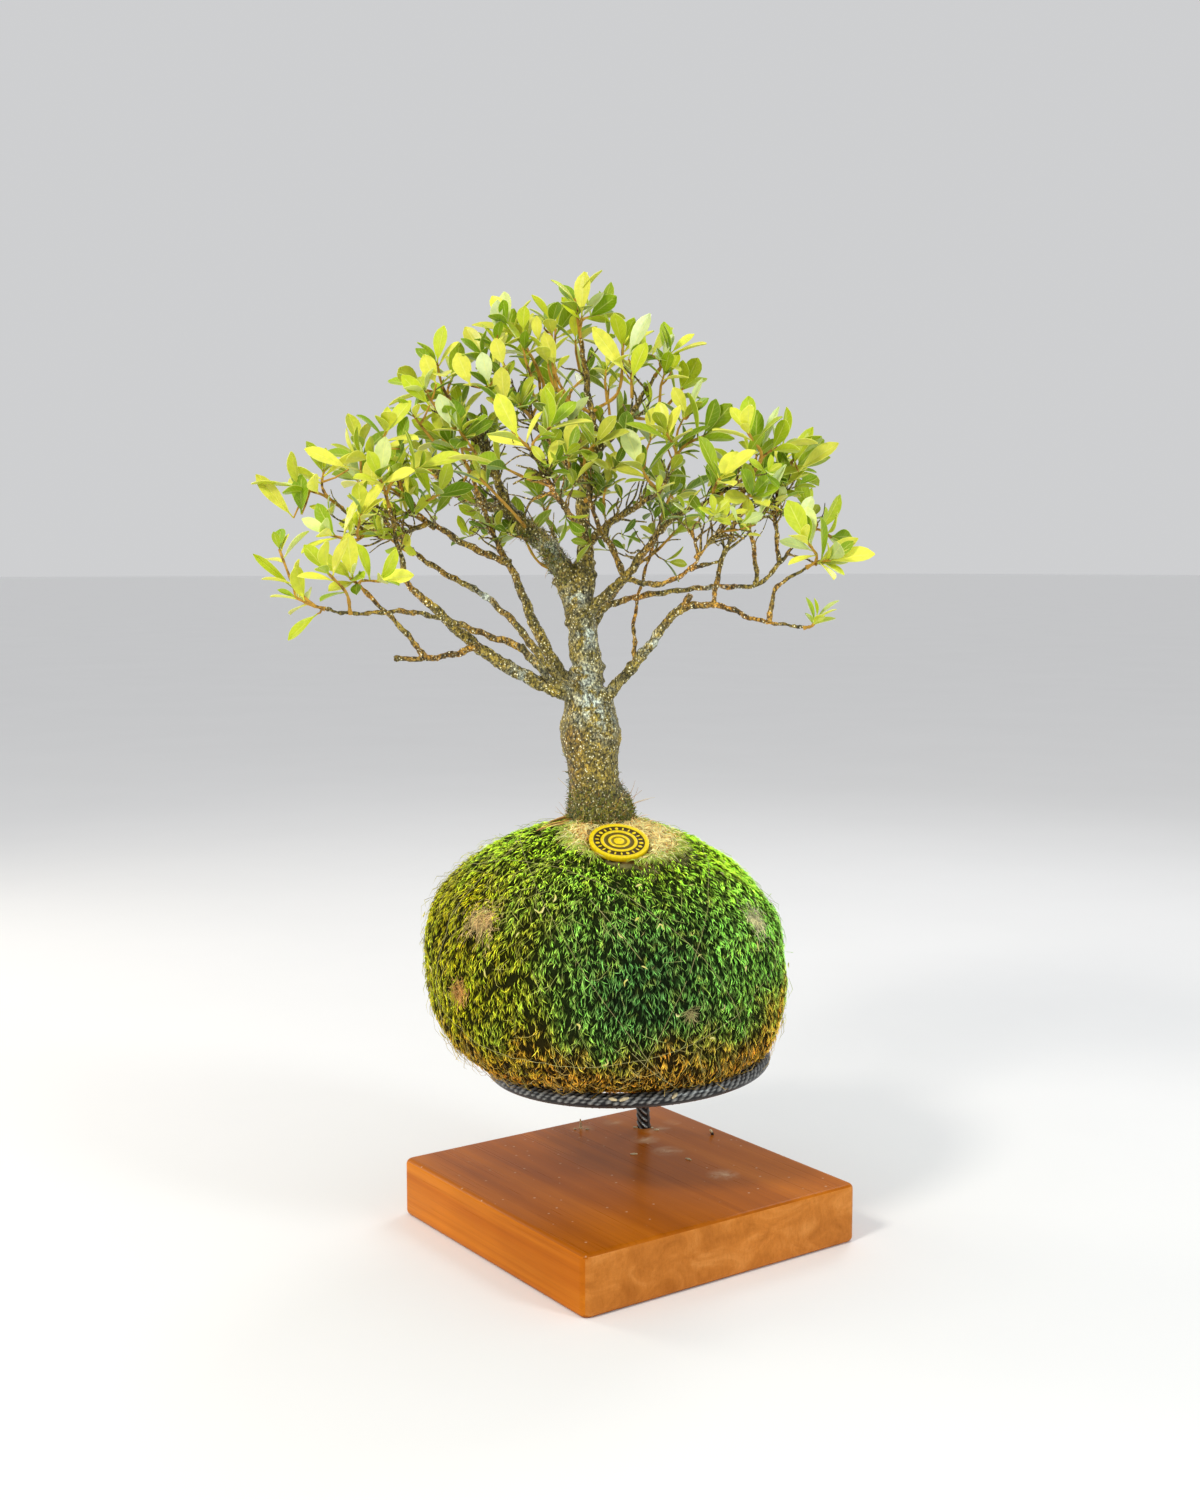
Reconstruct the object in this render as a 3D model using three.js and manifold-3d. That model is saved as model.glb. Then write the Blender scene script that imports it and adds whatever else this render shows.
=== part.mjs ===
// Kokedama: a small leafy tree growing out of a ball of moss, on a ring of ribbed bar over a wooden block.
// Millimetres, +Z up. The origin is the centre of the block's underside, X and Y run along its sides.
import * as THREE from 'three';
import { mergeVertices } from 'three/addons/utils/BufferGeometryUtils.js';
import { RoundedBoxGeometry } from 'three/addons/geometries/RoundedBoxGeometry.js';
import Module from 'manifold-3d';

const wasm = await Module();
wasm.setup();

// driving dimensions
const block = { side: 200, height: 36, edge: 4 };
const bar = { radius: 4, ribHeight: 0.45, ribPitch: 9, ribSlant: 2.4, sides: 6 };
const ring = { x: 2, y: 2, z: 106, radius: 82, riseX: 0.038, riseY: 0.018, groove: 5.6, saddle: 5.1 };
const post = { x: 13.7, y: 86.4, lean: 3.5, top: 107, socketDepth: 22 };
const ball = {
  x: -12.8, y: 2, z: 177, width: 218, height: 156, domePower: 1.9, footPower: 3.2, lean: 0.05, mossDepth: 9,
};
const lumps = { size: 1.6, wavesAround: 7, wavesUp: 9, twist: 5, sway: 3 };
const bareSoil = { x: -8, y: -16, radius: 44, sides: 18 };
const tag = {
  x: -4.5, y: -43.5, z: 247, radius: 17.5, thickness: 3, tilt: 25, roll: 5,
  rim: 2.2, recess: 0.8, slope: 0.6, channel: 4.4, middleDrop: 0.2,
};
const trunk = { sides: 12, socketGap: 0.45, threeRidges: 0.05, fiveRidges: 0.03, twist: 4 };
const shoot = {
  radius: 1.1, tipRadius: 0.8, sides: 3, knee: 0.4, fork: 0.7, lean: 0.35, sideShare: 0.9, tipGap: 0.9,
  sideGap: 0.5, turnIn: 0.5,
};
const leaf = {
  length: 23, width: 10.5, keel: 1, droop: 0.15, perTip: 4, turn: 137.5, spacing: 2.6, firstBack: 0.8,
  splay: 28, splayStep: 9, splaySpread: 12, rise: 0.55,
};
const tries = [0, 30, -30, 60, -60];
const gap = 0.3;
const join = { thinnest: 0.006, ways: 16, step: 0.02, roll: 1.7, shift: 0.04 };
// the plant and its stand are turned on the block, as the pot of a bonsai is turned to its best side
const plantTurn = -35.27;
const seed = 2257;

// trunk: [x, y, z, radius] from the foot in the soil to the fork
const trunkRoute = [
  [-16, 0, 216, 13], [-16, 0, 232, 19], [-16, 0, 244, 21.5], [-16, 0, 255, 20.3], [-17, 0, 268, 18],
  [-19.5, 0, 278, 15], [-20.5, 0, 289, 15.3], [-22, 0, 299, 16.9], [-21, 0, 309, 17.2], [-21, 0, 320, 15.4],
  [-23, 0, 334, 13.5],
];

// each branch runs from inside its parent: radius at the start and at the tip, then hand-placed points
const branches = {
  leader: { from: 10.6, to: 7.8, via: [[-22, 0, 322], [-23, 1, 343], [-26, 3, 367], [-29, 5, 391]] },
  spine: {
    from: 6.6, to: 1.5,
    via: [
      [-26, 2, 380], [-24, 4, 404], [-25, 6, 424], [-26, 8, 446], [-18, 6, 475], [-21, 1, 498], [-27, 0, 540],
    ],
  },
  limbLeft: {
    from: 8, to: 4.6,
    via: [[-27, 4, 374], [-37, 8, 402], [-47, 12, 418], [-60, 16, 429], [-75, 22, 445]],
  },
  lowLeft: {
    from: 5.2, to: 1.2,
    via: [
      [-22, -2, 327], [-40, -8, 333], [-58, -14, 341], [-81, -22, 355], [-99, -28, 370], [-115, -32, 386],
      [-125, -34, 394], [-130, -34, 411], [-137, -30, 440],
    ],
  },
  lowLeftSpur: {
    from: 2.3, to: 1.5,
    via: [[-87, -24, 361], [-96, -33, 357], [-113, -42, 354], [-133, -48, 354]],
  },
  spurRise: { from: 2, to: 1.3, via: [[-116, -43, 354], [-127, -46, 369], [-149, -48, 392]] },
  midLeft: {
    from: 4.6, to: 1.2,
    via: [[-26, 1, 329], [-40, 4, 344], [-56, 10, 374], [-67, 13, 401], [-78, 15, 421], [-93, 12, 462]],
  },
  fanLeft: {
    from: 2.9, to: 1.1,
    via: [
      [-29, -4, 329], [-46, -8, 346], [-64, -4, 370], [-86, 4, 390], [-107, 12, 401], [-128, 20, 415],
      [-142, 26, 428], [-155, 30, 447],
    ],
  },
  kneeLeft: {
    from: 3, to: 1,
    via: [
      [-28, -5, 329], [-44, -14, 339], [-62, -22, 359], [-80, -28, 366], [-101, -40, 375], [-125, -54, 381],
      [-156, -64, 380], [-170, -67, 383],
    ],
  },
  highLeft: {
    from: 2.4, to: 1,
    via: [
      [-70, 13, 408], [-97, 2, 420], [-116, -8, 431], [-136, -22, 423], [-151, -30, 427], [-164, -35, 440],
    ],
  },
  upLeft: { from: 1.6, to: 1, via: [[-113, -7, 429], [-125, -10, 440], [-136, -14, 460]] },
  lowRight: {
    from: 4.1, to: 1,
    via: [
      [-17, -2, 324], [-4, -8, 338], [15, -20, 362], [30, -28, 381], [53, -36, 384], [74, -44, 376],
      [101, -50, 372],
    ],
  },
  knobRight: { from: 2.4, to: 2.1, via: [[30, -28, 380], [37, -31, 390]] },
  rightRise: { from: 1.8, to: 1.1, via: [[50, -35, 383], [53, -31, 403], [60, -28, 423], [67, -24, 441]] },
  tipRise: { from: 1.6, to: 1, via: [[81, -46, 375], [85, -48, 394], [102, -52, 406]] },
  forkRight: {
    from: 3.4, to: 1.1,
    via: [
      [-24, 2, 377], [-14, -8, 388], [0, -20, 401], [13, -28, 419], [27, -32, 434], [50, -34, 446],
      [72, -34, 460],
    ],
  },
  forkBack: { from: 2.2, to: 1.2, via: [[-1, -20, 400], [-8, -18, 416], [-18, -17, 434], [-24, -22, 460]] },
  bareRight: {
    from: 2, to: 0.9,
    via: [[-1, -20, 400], [15, -30, 396], [31, -38, 401], [40, -43, 411], [37, -46, 427]],
  },
  bareTwig: { from: 1.2, to: 0.8, via: [[39, -43, 411], [52, -50, 426]] },
  bareSpur: { from: 1.3, to: 0.9, via: [[36, -41, 405], [55, -38, 410]] },
  longRight: {
    from: 2.4, to: 1.1,
    via: [
      [-25, 4, 374], [-8, 8, 384], [12, 16, 389], [53, 24, 394], [82, 26, 396], [96, 26, 411], [110, 22, 426],
    ],
  },
  crookRight: { from: 1.7, to: 1, via: [[80, 26, 395], [79, 22, 409], [74, 14, 432], [72, 12, 442]] },
  endRise: { from: 1.5, to: 1, via: [[94, 26, 408], [91, 22, 430], [91, 16, 452]] },
  slender: { from: 1.3, to: 0.9, via: [[5, -13, 352], [5, -2, 376], [11, 14, 401], [22, 30, 436]] },
  shoulder: {
    from: 3, to: 1.1,
    via: [[-25, 5, 417], [-12, -8, 430], [2, -20, 439], [19, -30, 450], [26, -32, 462]],
  },
  crownLeft: { from: 2.8, to: 1.2, via: [[-23, 8, 455], [-36, 10, 468], [-57, 8, 495], [-68, 6, 509]] },
  crownRight: { from: 2.7, to: 1.1, via: [[-18, 6, 474], [2, 2, 495], [17, -2, 518]] },
  limbUp: { from: 3.4, to: 1.2, via: [[-69, 19, 436], [-76, 20, 454], [-86, 13, 476], [-97, 6, 496]] },
  backLow: { from: 4.2, to: 1.3, via: [[-25, 6, 352], [-28, 34, 372], [-37, 76, 401], [-49, 104, 436]] },
  backRight: { from: 3.8, to: 1.2, via: [[-24, 5, 360], [-16, 36, 378], [7, 76, 407], [29, 98, 441]] },
  backLeft: { from: 3.6, to: 1.3, via: [[-70, 20, 438], [-80, 44, 442], [-107, 80, 452], [-120, 90, 463]] },
  backHigh: { from: 3, to: 1.2, via: [[-26, 7, 437], [-25, 32, 452], [-28, 66, 486], [-33, 74, 506]] },
  frontHigh: { from: 2.9, to: 1.1, via: [[-25, 4, 419], [-31, -22, 433], [-44, -60, 452], [-51, -76, 466]] },
};

// each spray of leaves: the branch it grows on, at its tip or at one of its bends, and where its rosettes sit
const sprays = {
  far_left: { on: 'highLeft', tips: [[-190, -38, 452], [-176, -20, 462]] },
  far_left_low: { on: 'kneeLeft', tips: [[-186, -64, 389], [-196, -58, 416]] },
  left_elbow: { on: 'kneeLeft', bend: 6, tips: [[-166, -84, 404]] },
  left_shelf: { on: 'highLeft', bend: 4, tips: [[-168, -52, 424], [-150, -54, 436]] },
  left_outer_top: { on: 'upLeft', tips: [[-158, -16, 470], [-138, -32, 484]] },
  left_back_top: { on: 'fanLeft', tips: [[-166, 48, 460], [-160, 24, 478]] },
  left_back_low: { on: 'fanLeft', bend: 5, tips: [[-152, 50, 428]] },
  left_front: { on: 'lowLeft', tips: [[-140, -50, 456], [-118, -44, 462]] },
  left_low: { on: 'spurRise', tips: [[-156, -62, 400], [-138, -66, 398]] },
  left_inner: { on: 'midLeft', tips: [[-104, 4, 478], [-94, -18, 482]] },
  left_heart: { on: 'upLeft', bend: 1, tips: [[-108, -30, 448]] },
  limb_top: { on: 'limbUp', tips: [[-124, 4, 512], [-110, -16, 524], [-104, 22, 520]] },
  limb_side: { on: 'limbUp', bend: 2, tips: [[-112, 36, 484]] },
  limb_end: { on: 'limbLeft', bend: 3, tips: [[-86, -10, 458]] },
  crown_left: { on: 'crownLeft', tips: [[-84, -6, 528], [-74, 20, 536]] },
  crown_left_low: { on: 'crownLeft', bend: 2, tips: [[-62, -18, 500]] },
  crown_upper_left: { on: 'crownLeft', bend: 2, tips: [[-60, 10, 538], [-70, -8, 548]] },
  crown_top: { on: 'spine', tips: [[-30, -6, 562], [-16, 8, 554]] },
  crown_top_left: { on: 'spine', bend: 5, tips: [[-44, -16, 548], [-42, 18, 548]] },
  crown_top_right: { on: 'spine', bend: 5, tips: [[-2, -8, 536]] },
  crown_mid: { on: 'spine', bend: 4, tips: [[-40, -22, 490]] },
  crown_mid_right: { on: 'spine', bend: 3, tips: [[-2, -18, 478]] },
  crown_right: { on: 'crownRight', tips: [[26, -12, 530], [12, 12, 532]] },
  crown_right_low: { on: 'crownRight', bend: 1, tips: [[34, 10, 512]] },
  shoulder: { on: 'shoulder', tips: [[22, -42, 482], [46, -30, 482]] },
  shoulder_low: { on: 'shoulder', bend: 3, tips: [[8, -44, 462]] },
  fork_right: { on: 'forkRight', tips: [[68, -46, 482], [90, -32, 476]] },
  fork_right_low: { on: 'forkRight', bend: 5, tips: [[52, -54, 456]] },
  fork_back: { on: 'forkBack', tips: [[-18, -40, 476]] },
  right_rise: { on: 'rightRise', tips: [[72, -38, 446]] },
  right_crook: { on: 'crookRight', tips: [[66, 26, 462], [84, 4, 458]] },
  right_end: { on: 'longRight', tips: [[124, 14, 424], [112, 36, 440]] },
  right_end_rise: { on: 'endRise', tips: [[100, 6, 470], [106, 28, 466]] },
  right_tip: { on: 'tipRise', tips: [[114, -60, 410], [100, -66, 420]] },
  right_low: { on: 'lowRight', tips: [[108, -52, 378]], count: 4, size: 0.7 },
  slender_tip: { on: 'slender', tips: [[28, 40, 450]] },
  back_low: { on: 'backLow', tips: [[-56, 118, 452], [-36, 116, 458]] },
  back_low_side: { on: 'backLow', bend: 2, tips: [[-66, 92, 428]] },
  back_right: { on: 'backRight', tips: [[40, 106, 456], [22, 112, 462]] },
  back_right_side: { on: 'backRight', bend: 2, tips: [[34, 72, 430]] },
  back_left: { on: 'backLeft', tips: [[-134, 96, 474], [-116, 104, 480]] },
  back_left_side: { on: 'backLeft', bend: 2, tips: [[-96, 84, 474]] },
  back_high: { on: 'backHigh', tips: [[-44, 82, 520], [-24, 80, 526]] },
  back_high_side: { on: 'backHigh', bend: 2, tips: [[-2, 62, 498]] },
  front_high: { on: 'frontHigh', tips: [[-60, -86, 476], [-42, -88, 482]] },
  front_high_side: { on: 'frontHigh', bend: 2, tips: [[-74, -58, 464]] },
};

const finishes = {
  block: { color: 0xb8681f, roughness: 0.35, metalness: 0 },
  bar: { color: 0x1d1f22, roughness: 0.45, metalness: 0.6 },
  soil: { color: 0x8a6a42, roughness: 0.95, metalness: 0 },
  moss: { color: 0x5f8a22, roughness: 0.95, metalness: 0 },
  tag: { color: 0xcaa02a, roughness: 0.4, metalness: 0.3 },
  bark: { color: 0x6d5f45, roughness: 0.85, metalness: 0 },
  leaf: { color: 0x7fae35, roughness: 0.5, metalness: 0 },
};

const radians = THREE.MathUtils.degToRad;
const up = new THREE.Vector3(0, 0, 1);
const vector = (point) => new THREE.Vector3(point[0], point[1], point[2]);

// a closed solid for joining and cutting, with vertices that lie closer than the weld made one
function solidOf(geometry, weld = 1e-4) {
  const bare = geometry.clone();
  bare.deleteAttribute('normal');
  bare.deleteAttribute('uv');
  const merged = mergeVertices(bare, weld);
  const vertProperties = new Float32Array(merged.attributes.position.array);
  const triVerts = new Uint32Array(merged.index.array);
  return new wasm.Manifold(new wasm.Mesh({ numProp: 3, vertProperties, triVerts }));
}

function geometryOf(solid) {
  const mesh = solid.getMesh();
  const geometry = new THREE.BufferGeometry();
  geometry.setAttribute('position', new THREE.BufferAttribute(mesh.vertProperties, 3));
  geometry.setIndex(new THREE.BufferAttribute(mesh.triVerts, 1));
  geometry.computeVertexNormals();
  return geometry;
}

// the height of the flattest triangle of a solid
function thinnestFace(solid) {
  const { vertProperties, triVerts } = solid.getMesh();
  const corner = (i) => new THREE.Vector3().fromArray(vertProperties, 3 * triVerts[i]);
  let thinnest = Infinity;
  for (let i = 0; i < triVerts.length; i += 3) {
    const [a, b, c] = [corner(i), corner(i + 1), corner(i + 2)];
    const longest = Math.max(a.distanceTo(b), b.distanceTo(c), c.distanceTo(a));
    const twiceArea = b.sub(a).cross(c.sub(a)).length();
    thinnest = Math.min(thinnest, twiceArea / longest);
  }
  return thinnest;
}

// joins a piece to a solid in one of several nearly equal ways, so that no face comes out too thin
function joinNeatly(solid, makePiece) {
  let best = { solid: null, thinnest: 0 };
  for (let nudge = 0; nudge < join.ways && best.thinnest < join.thinnest; nudge += 1) {
    const joined = solid.add(makePiece(nudge));
    const thinnest = thinnestFace(joined);
    if (thinnest > best.thinnest) {
      best = { solid: joined, thinnest };
    }
  }
  return best.solid;
}

// joining can leave a loose scrap or a sealed speck, which goes
function largestPiece(solid) {
  return solid.decompose().reduce((best, piece) => (piece.volume() > best.volume() ? piece : best));
}

function meshOf(name, solid, finish) {
  const settled = largestPiece(solidOf(geometryOf(solid), 1e-3));
  const mesh = new THREE.Mesh(geometryOf(settled), new THREE.MeshStandardMaterial(finish));
  mesh.name = name;
  return mesh;
}

// moves every vertex of a geometry to the place that a rule gives
function reshape(geometry, place) {
  const positions = geometry.attributes.position;
  const point = new THREE.Vector3();
  for (let i = 0; i < positions.count; i += 1) {
    point.fromBufferAttribute(positions, i);
    place(point);
    positions.setXYZ(i, point.x, point.y, point.z);
  }
  return geometry;
}

// a closed tube through hand-placed points, whose radius is a rule of the angle and of the way along
function tubeThrough(points, sides, steps, radiusAt) {
  const curve = new THREE.CatmullRomCurve3(points);
  const frames = curve.computeFrenetFrames(steps, false);
  const tube = new THREE.CylinderGeometry(1, 1, 1, sides, steps);
  return reshape(tube, (point) => {
    const station = Math.round((point.y + 0.5) * steps);
    const along = station / steps;
    const angle = Math.atan2(point.z, point.x);
    const reach = Math.hypot(point.x, point.z) > 0.5 ? radiusAt(along, angle) : 0;
    point.copy(curve.getPoint(along));
    point.addScaledVector(frames.normals[station], -reach * Math.cos(angle));
    point.addScaledVector(frames.binormals[station], reach * Math.sin(angle));
  });
}

function midway(a, b) {
  return a.clone().lerp(b, 0.5);
}

// a point of the leaning post's axis
function postAxis(z) {
  return new THREE.Vector3(post.x - (z - block.height) * Math.tan(radians(post.lean)), post.y, z);
}

function baseBlock() {
  const edges = new RoundedBoxGeometry(block.side, block.side, block.height, 1, block.edge);
  edges.translate(0, 0, block.height / 2);
  const reach = bar.radius + bar.ribHeight + gap;
  const foot = postAxis(block.height - post.socketDepth - gap);
  const mouth = postAxis(block.height + 1);
  const socket = tubeThrough([foot, midway(foot, mouth), mouth], 16, 2, () => reach);
  socket.rotateZ(radians(plantTurn));
  return solidOf(edges).subtract(solidOf(socket));
}

// the height of the ring's centreline over a point of its plane
function ringHeight(x, y) {
  return ring.z + ring.riseX * (x - ring.x) + ring.riseY * (y - ring.y);
}

function standRing() {
  const ribs = Math.round(2 * Math.PI * ring.radius / bar.ribPitch);
  const steps = ribs * 2;
  const hoop = new THREE.TorusGeometry(ring.radius, bar.radius, bar.sides, steps);
  return solidOf(reshape(hoop, (point) => {
    const turn = Math.atan2(point.y, point.x);
    const station = Math.round(turn / (2 * Math.PI) * steps);
    const outward = Math.hypot(point.x, point.y) - ring.radius;
    const angle = Math.atan2(point.z, outward);
    const reach = bar.radius + (station % 2 === 0 ? bar.ribHeight : 0);
    const slanted = turn + bar.ribSlant / ring.radius * Math.sin(angle);
    const far = ring.radius + reach * Math.cos(angle);
    const x = ring.x + far * Math.cos(slanted);
    const y = ring.y + far * Math.sin(slanted);
    point.set(x, y, ringHeight(x, y) + reach * Math.sin(angle));
  }));
}

// the room that the ring takes up in a piece it presses into or is welded to
function ringRoom(radius, steps) {
  const room = new THREE.TorusGeometry(ring.radius, radius, 8, steps);
  return solidOf(reshape(room, (point) => {
    point.x += ring.x;
    point.y += ring.y;
    point.z += ringHeight(point.x, point.y);
  }));
}

function standPost() {
  const from = postAxis(block.height - post.socketDepth);
  const to = postAxis(post.top);
  const length = from.distanceTo(to);
  const steps = Math.round(length / bar.ribPitch) * 2;
  const reach = (along) => bar.radius + (Math.round(along * steps) % 2 === 0 ? bar.ribHeight : 0);
  const upright = solidOf(tubeThrough([from, midway(from, to), to], bar.sides, steps, reach));
  return largestPiece(upright.subtract(ringRoom(ring.saddle, 60)));
}

// distance from the middle of the ball to its surface, along a direction: a round dome over a squarer foot
function ballReach(direction, inset) {
  const across = Math.hypot(direction.x, direction.y) / (ball.width / 2 - inset);
  const up = Math.abs(direction.z) / (ball.height / 2 - inset);
  const power = direction.z > 0 ? ball.domePower : ball.footPower;
  return (across ** power + up ** power) ** (-1 / power);
}

function mossLump(direction) {
  const turn = Math.atan2(direction.y, direction.x);
  const around = Math.sin(lumps.wavesAround * turn + lumps.twist * direction.z);
  const upward = Math.cos(lumps.wavesUp * direction.z + lumps.sway * Math.sin(2 * turn));
  return lumps.size * around * upward * Math.hypot(direction.x, direction.y);
}

function ballShape(columns, rows, inset, lumpy) {
  const sphere = new THREE.SphereGeometry(1, columns, rows);
  sphere.rotateX(Math.PI / 2);
  return reshape(sphere, (point) => {
    const direction = point.clone().normalize();
    const relief = lumpy ? mossLump(direction) : 0;
    point.copy(direction).multiplyScalar(ballReach(direction, inset) + relief);
    point.add(new THREE.Vector3(ball.x - ball.lean * point.z, ball.y, ball.z));
  });
}

// an upright shaft over the bare soil round the trunk
function bareShaft(radius) {
  const shaft = new THREE.CylinderGeometry(radius, radius, ball.height, bareSoil.sides);
  shaft.rotateX(Math.PI / 2);
  return solidOf(shaft.translate(bareSoil.x, bareSoil.y, ball.z + ball.height / 2));
}

function trunkSolid(extra) {
  const points = trunkRoute.map(vector);
  points[0].z -= extra;
  const steps = points.length - 1;
  return solidOf(tubeThrough(points, trunk.sides, steps, (along, angle) => {
    const radius = trunkRoute[Math.round(along * steps)][3];
    const broad = trunk.threeRidges * Math.sin(3 * angle + trunk.twist * along);
    const narrow = trunk.fiveRidges * Math.sin(5 * angle);
    return radius * (1 + broad + narrow) + extra;
  }));
}

// the room over and round the tag, down to the bed that it lies on
function tagSeat() {
  const reach = tag.radius + 2 * gap;
  const depth = 2 * tag.radius;
  const seat = new THREE.CylinderGeometry(reach, reach, depth, 18);
  seat.rotateX(Math.PI / 2);
  seat.translate(0, 0, depth / 2 - tag.thickness / 2 - gap);
  return solidOf(placeTag(seat));
}

function mossCover(outside) {
  const inside = solidOf(ballShape(20, 10, ball.mossDepth, false));
  const shell = outside.subtract(inside).subtract(bareShaft(bareSoil.radius));
  return shell.subtract(ringRoom(ring.groove, 36)).subtract(tagSeat());
}

function soilBall(outside) {
  const core = solidOf(ballShape(20, 10, ball.mossDepth + 2 * gap, false));
  const mound = outside.intersect(bareShaft(bareSoil.radius - 2 * gap));
  const socket = trunkSolid(trunk.socketGap);
  return core.add(mound).subtract(socket).subtract(tagSeat());
}

function placeTag(geometry) {
  geometry.rotateX(radians(tag.tilt));
  geometry.rotateY(radians(tag.roll));
  return geometry.translate(tag.x, tag.y, tag.z);
}

// a plain disc with a raised rim and a raised centre
function tagDisc() {
  const low = -tag.thickness / 2;
  const high = tag.thickness / 2;
  const inner = tag.radius - tag.rim;
  const bed = high - tag.recess;
  const middle = inner - tag.slope - tag.channel;
  const crown = high - tag.middleDrop;
  const profile = [
    [0, low], [tag.radius, low], [tag.radius, high], [inner, high], [inner - tag.slope, bed],
    [middle, bed], [middle - tag.slope, crown], [0, crown],
  ];
  const disc = new THREE.LatheGeometry(profile.map((p) => new THREE.Vector2(p[0], p[1])), 28);
  disc.rotateX(Math.PI / 2);
  return solidOf(placeTag(disc));
}

function sidesFor(radius) {
  if (radius > 6) {
    return 8;
  }
  return radius > 3 ? 5 : 4;
}

function branchRadius(branch, along) {
  return branch.to + (branch.from - branch.to) * (1 - along) ** 1.2;
}

function branchSolid(branch) {
  const steps = branch.via.length - 1;
  const radiusAt = (along) => branchRadius(branch, along);
  return solidOf(tubeThrough(branch.via.map(vector), sidesFor(branch.from), steps, radiusAt));
}

function treeWood() {
  const addBranch = (wood, branch) => {
    const limb = branchSolid(branch);
    return joinNeatly(wood, (nudge) => limb.translate([nudge * join.shift, nudge * join.shift / 2, 0]));
  };
  return Object.values(branches).reduce(addBranch, trunkSolid(0));
}

// a repeatable random number between 0 and 1 for one leaf of one spray
function chance(spray, index, use) {
  let mixed = (seed + spray * 7919 + index * 104729 + use * 1299709) >>> 0;
  mixed = Math.imul(mixed ^ (mixed >>> 15), 2246822519) >>> 0;
  mixed = Math.imul(mixed ^ (mixed >>> 13), 3266489917) >>> 0;
  return ((mixed ^ (mixed >>> 16)) >>> 0) / 4294967296;
}

// where a shoot leaves its branch: past its tip, or from a bend on the side that faces the rosette
function shootRoot(branch, bend, tip) {
  const points = branch.via.map(vector);
  const last = points.length - 1;
  const index = bend ?? last;
  const centre = points[index];
  const along = points[Math.min(index + 1, last)].clone().sub(points[index - 1]).normalize();
  const toTip = tip.clone().sub(centre).normalize();
  if (index === last) {
    const end = centre.clone().addScaledVector(along, shoot.tipGap);
    return { start: end, heading: along.lerp(toTip, shoot.turnIn).normalize() };
  }
  const side = toTip.clone().addScaledVector(along, -toTip.dot(along)).normalize();
  const start = centre.clone().addScaledVector(side, branchRadius(branch, index / last) + shoot.sideGap);
  return { start, heading: side.lerp(toTip, shoot.turnIn).normalize() };
}

// a shoot leaves its branch, then bends at a knee towards its rosette
function shootRoute(start, heading, tip) {
  const knee = start.clone().addScaledVector(heading, start.distanceTo(tip) * shoot.knee);
  return [start, knee, tip];
}

function shootSolid(points, share = 1) {
  const radiusAt = (along) => share * (shoot.radius + (shoot.tipRadius - shoot.radius) * along);
  return solidOf(tubeThrough(points, shoot.sides, points.length - 1, radiusAt));
}

// a leaf lies along +X with its upper face to +Z: pointed at both ends, widest past the middle, keeled below
function leafSolid(length, width, extra) {
  const sections = [
    { along: 0.4, half: width * 0.42, keel: leaf.keel },
    { along: 0.74, half: width * 0.47, keel: leaf.keel * 0.8 },
  ];
  const corners = sections.flatMap(({ along, half, keel }) => {
    const x = along * length;
    const droop = -leaf.droop * length * along * along;
    return [x, -half - extra, droop + extra, x, half + extra, droop + extra, x, 0, droop - keel - extra];
  });
  corners.push(-shoot.tipRadius / 3, 0, -leaf.keel / 4, length + extra, 0, -leaf.droop * length);
  const [root, tip] = [6, 7];
  const faces = [];
  for (let side = 0; side < 3; side += 1) {
    const next = (side + 1) % 3;
    faces.push(root, side, next, side, side + 3, next, next, side + 3, next + 3, side + 3, tip, next + 3);
  }
  const vertProperties = new Float32Array(corners);
  return new wasm.Manifold(new wasm.Mesh({ numProp: 3, vertProperties, triVerts: new Uint32Array(faces) }));
}

// the matrix that lays a leaf at a point of its shoot, turned round it and splayed away from it
function leafPlace(at, along, turn, splay) {
  const side = up.clone().cross(along);
  if (side.length() < 0.1) {
    side.set(1, 0, 0);
  }
  side.normalize().applyAxisAngle(along, turn);
  const out = along.clone().multiplyScalar(Math.cos(splay)).addScaledVector(side, Math.sin(splay));
  const across = new THREE.Vector3().crossVectors(along, out).normalize();
  const face = new THREE.Vector3().crossVectors(out, across);
  return new THREE.Matrix4().makeBasis(out, across, face).setPosition(at);
}

// the leaves round the end of a shoot: the last ones stand nearly upright, those further back spread wider
function rosette([, knee, tip], spec, sprayIndex, tipIndex) {
  const reach = knee.distanceTo(tip);
  const along = tip.clone().sub(knee).normalize();
  const heading = along.clone().addScaledVector(up, leaf.rise).normalize();
  return Array.from({ length: spec.count ?? leaf.perTip }, (unused, k) => {
    const index = tipIndex * 20 + k;
    const back = Math.min(leaf.firstBack + k * leaf.spacing, 0.95 * reach);
    const at = tip.clone().addScaledVector(along, -back);
    const turn = radians(k * leaf.turn + 360 * chance(sprayIndex, tipIndex, 1));
    const spread = leaf.splaySpread * (chance(sprayIndex, index, 2) - 0.5);
    const splay = radians(leaf.splay + k * leaf.splayStep + spread);
    const grown = (spec.size ?? 1) * (0.8 + 0.4 * chance(sprayIndex, index, 3));
    return {
      length: leaf.length * grown,
      width: leaf.width * grown * (0.9 + 0.25 * chance(sprayIndex, index, 4)),
      places: tries.map((aside) => leafPlace(at, heading, turn + radians(aside), splay)),
    };
  });
}

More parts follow.
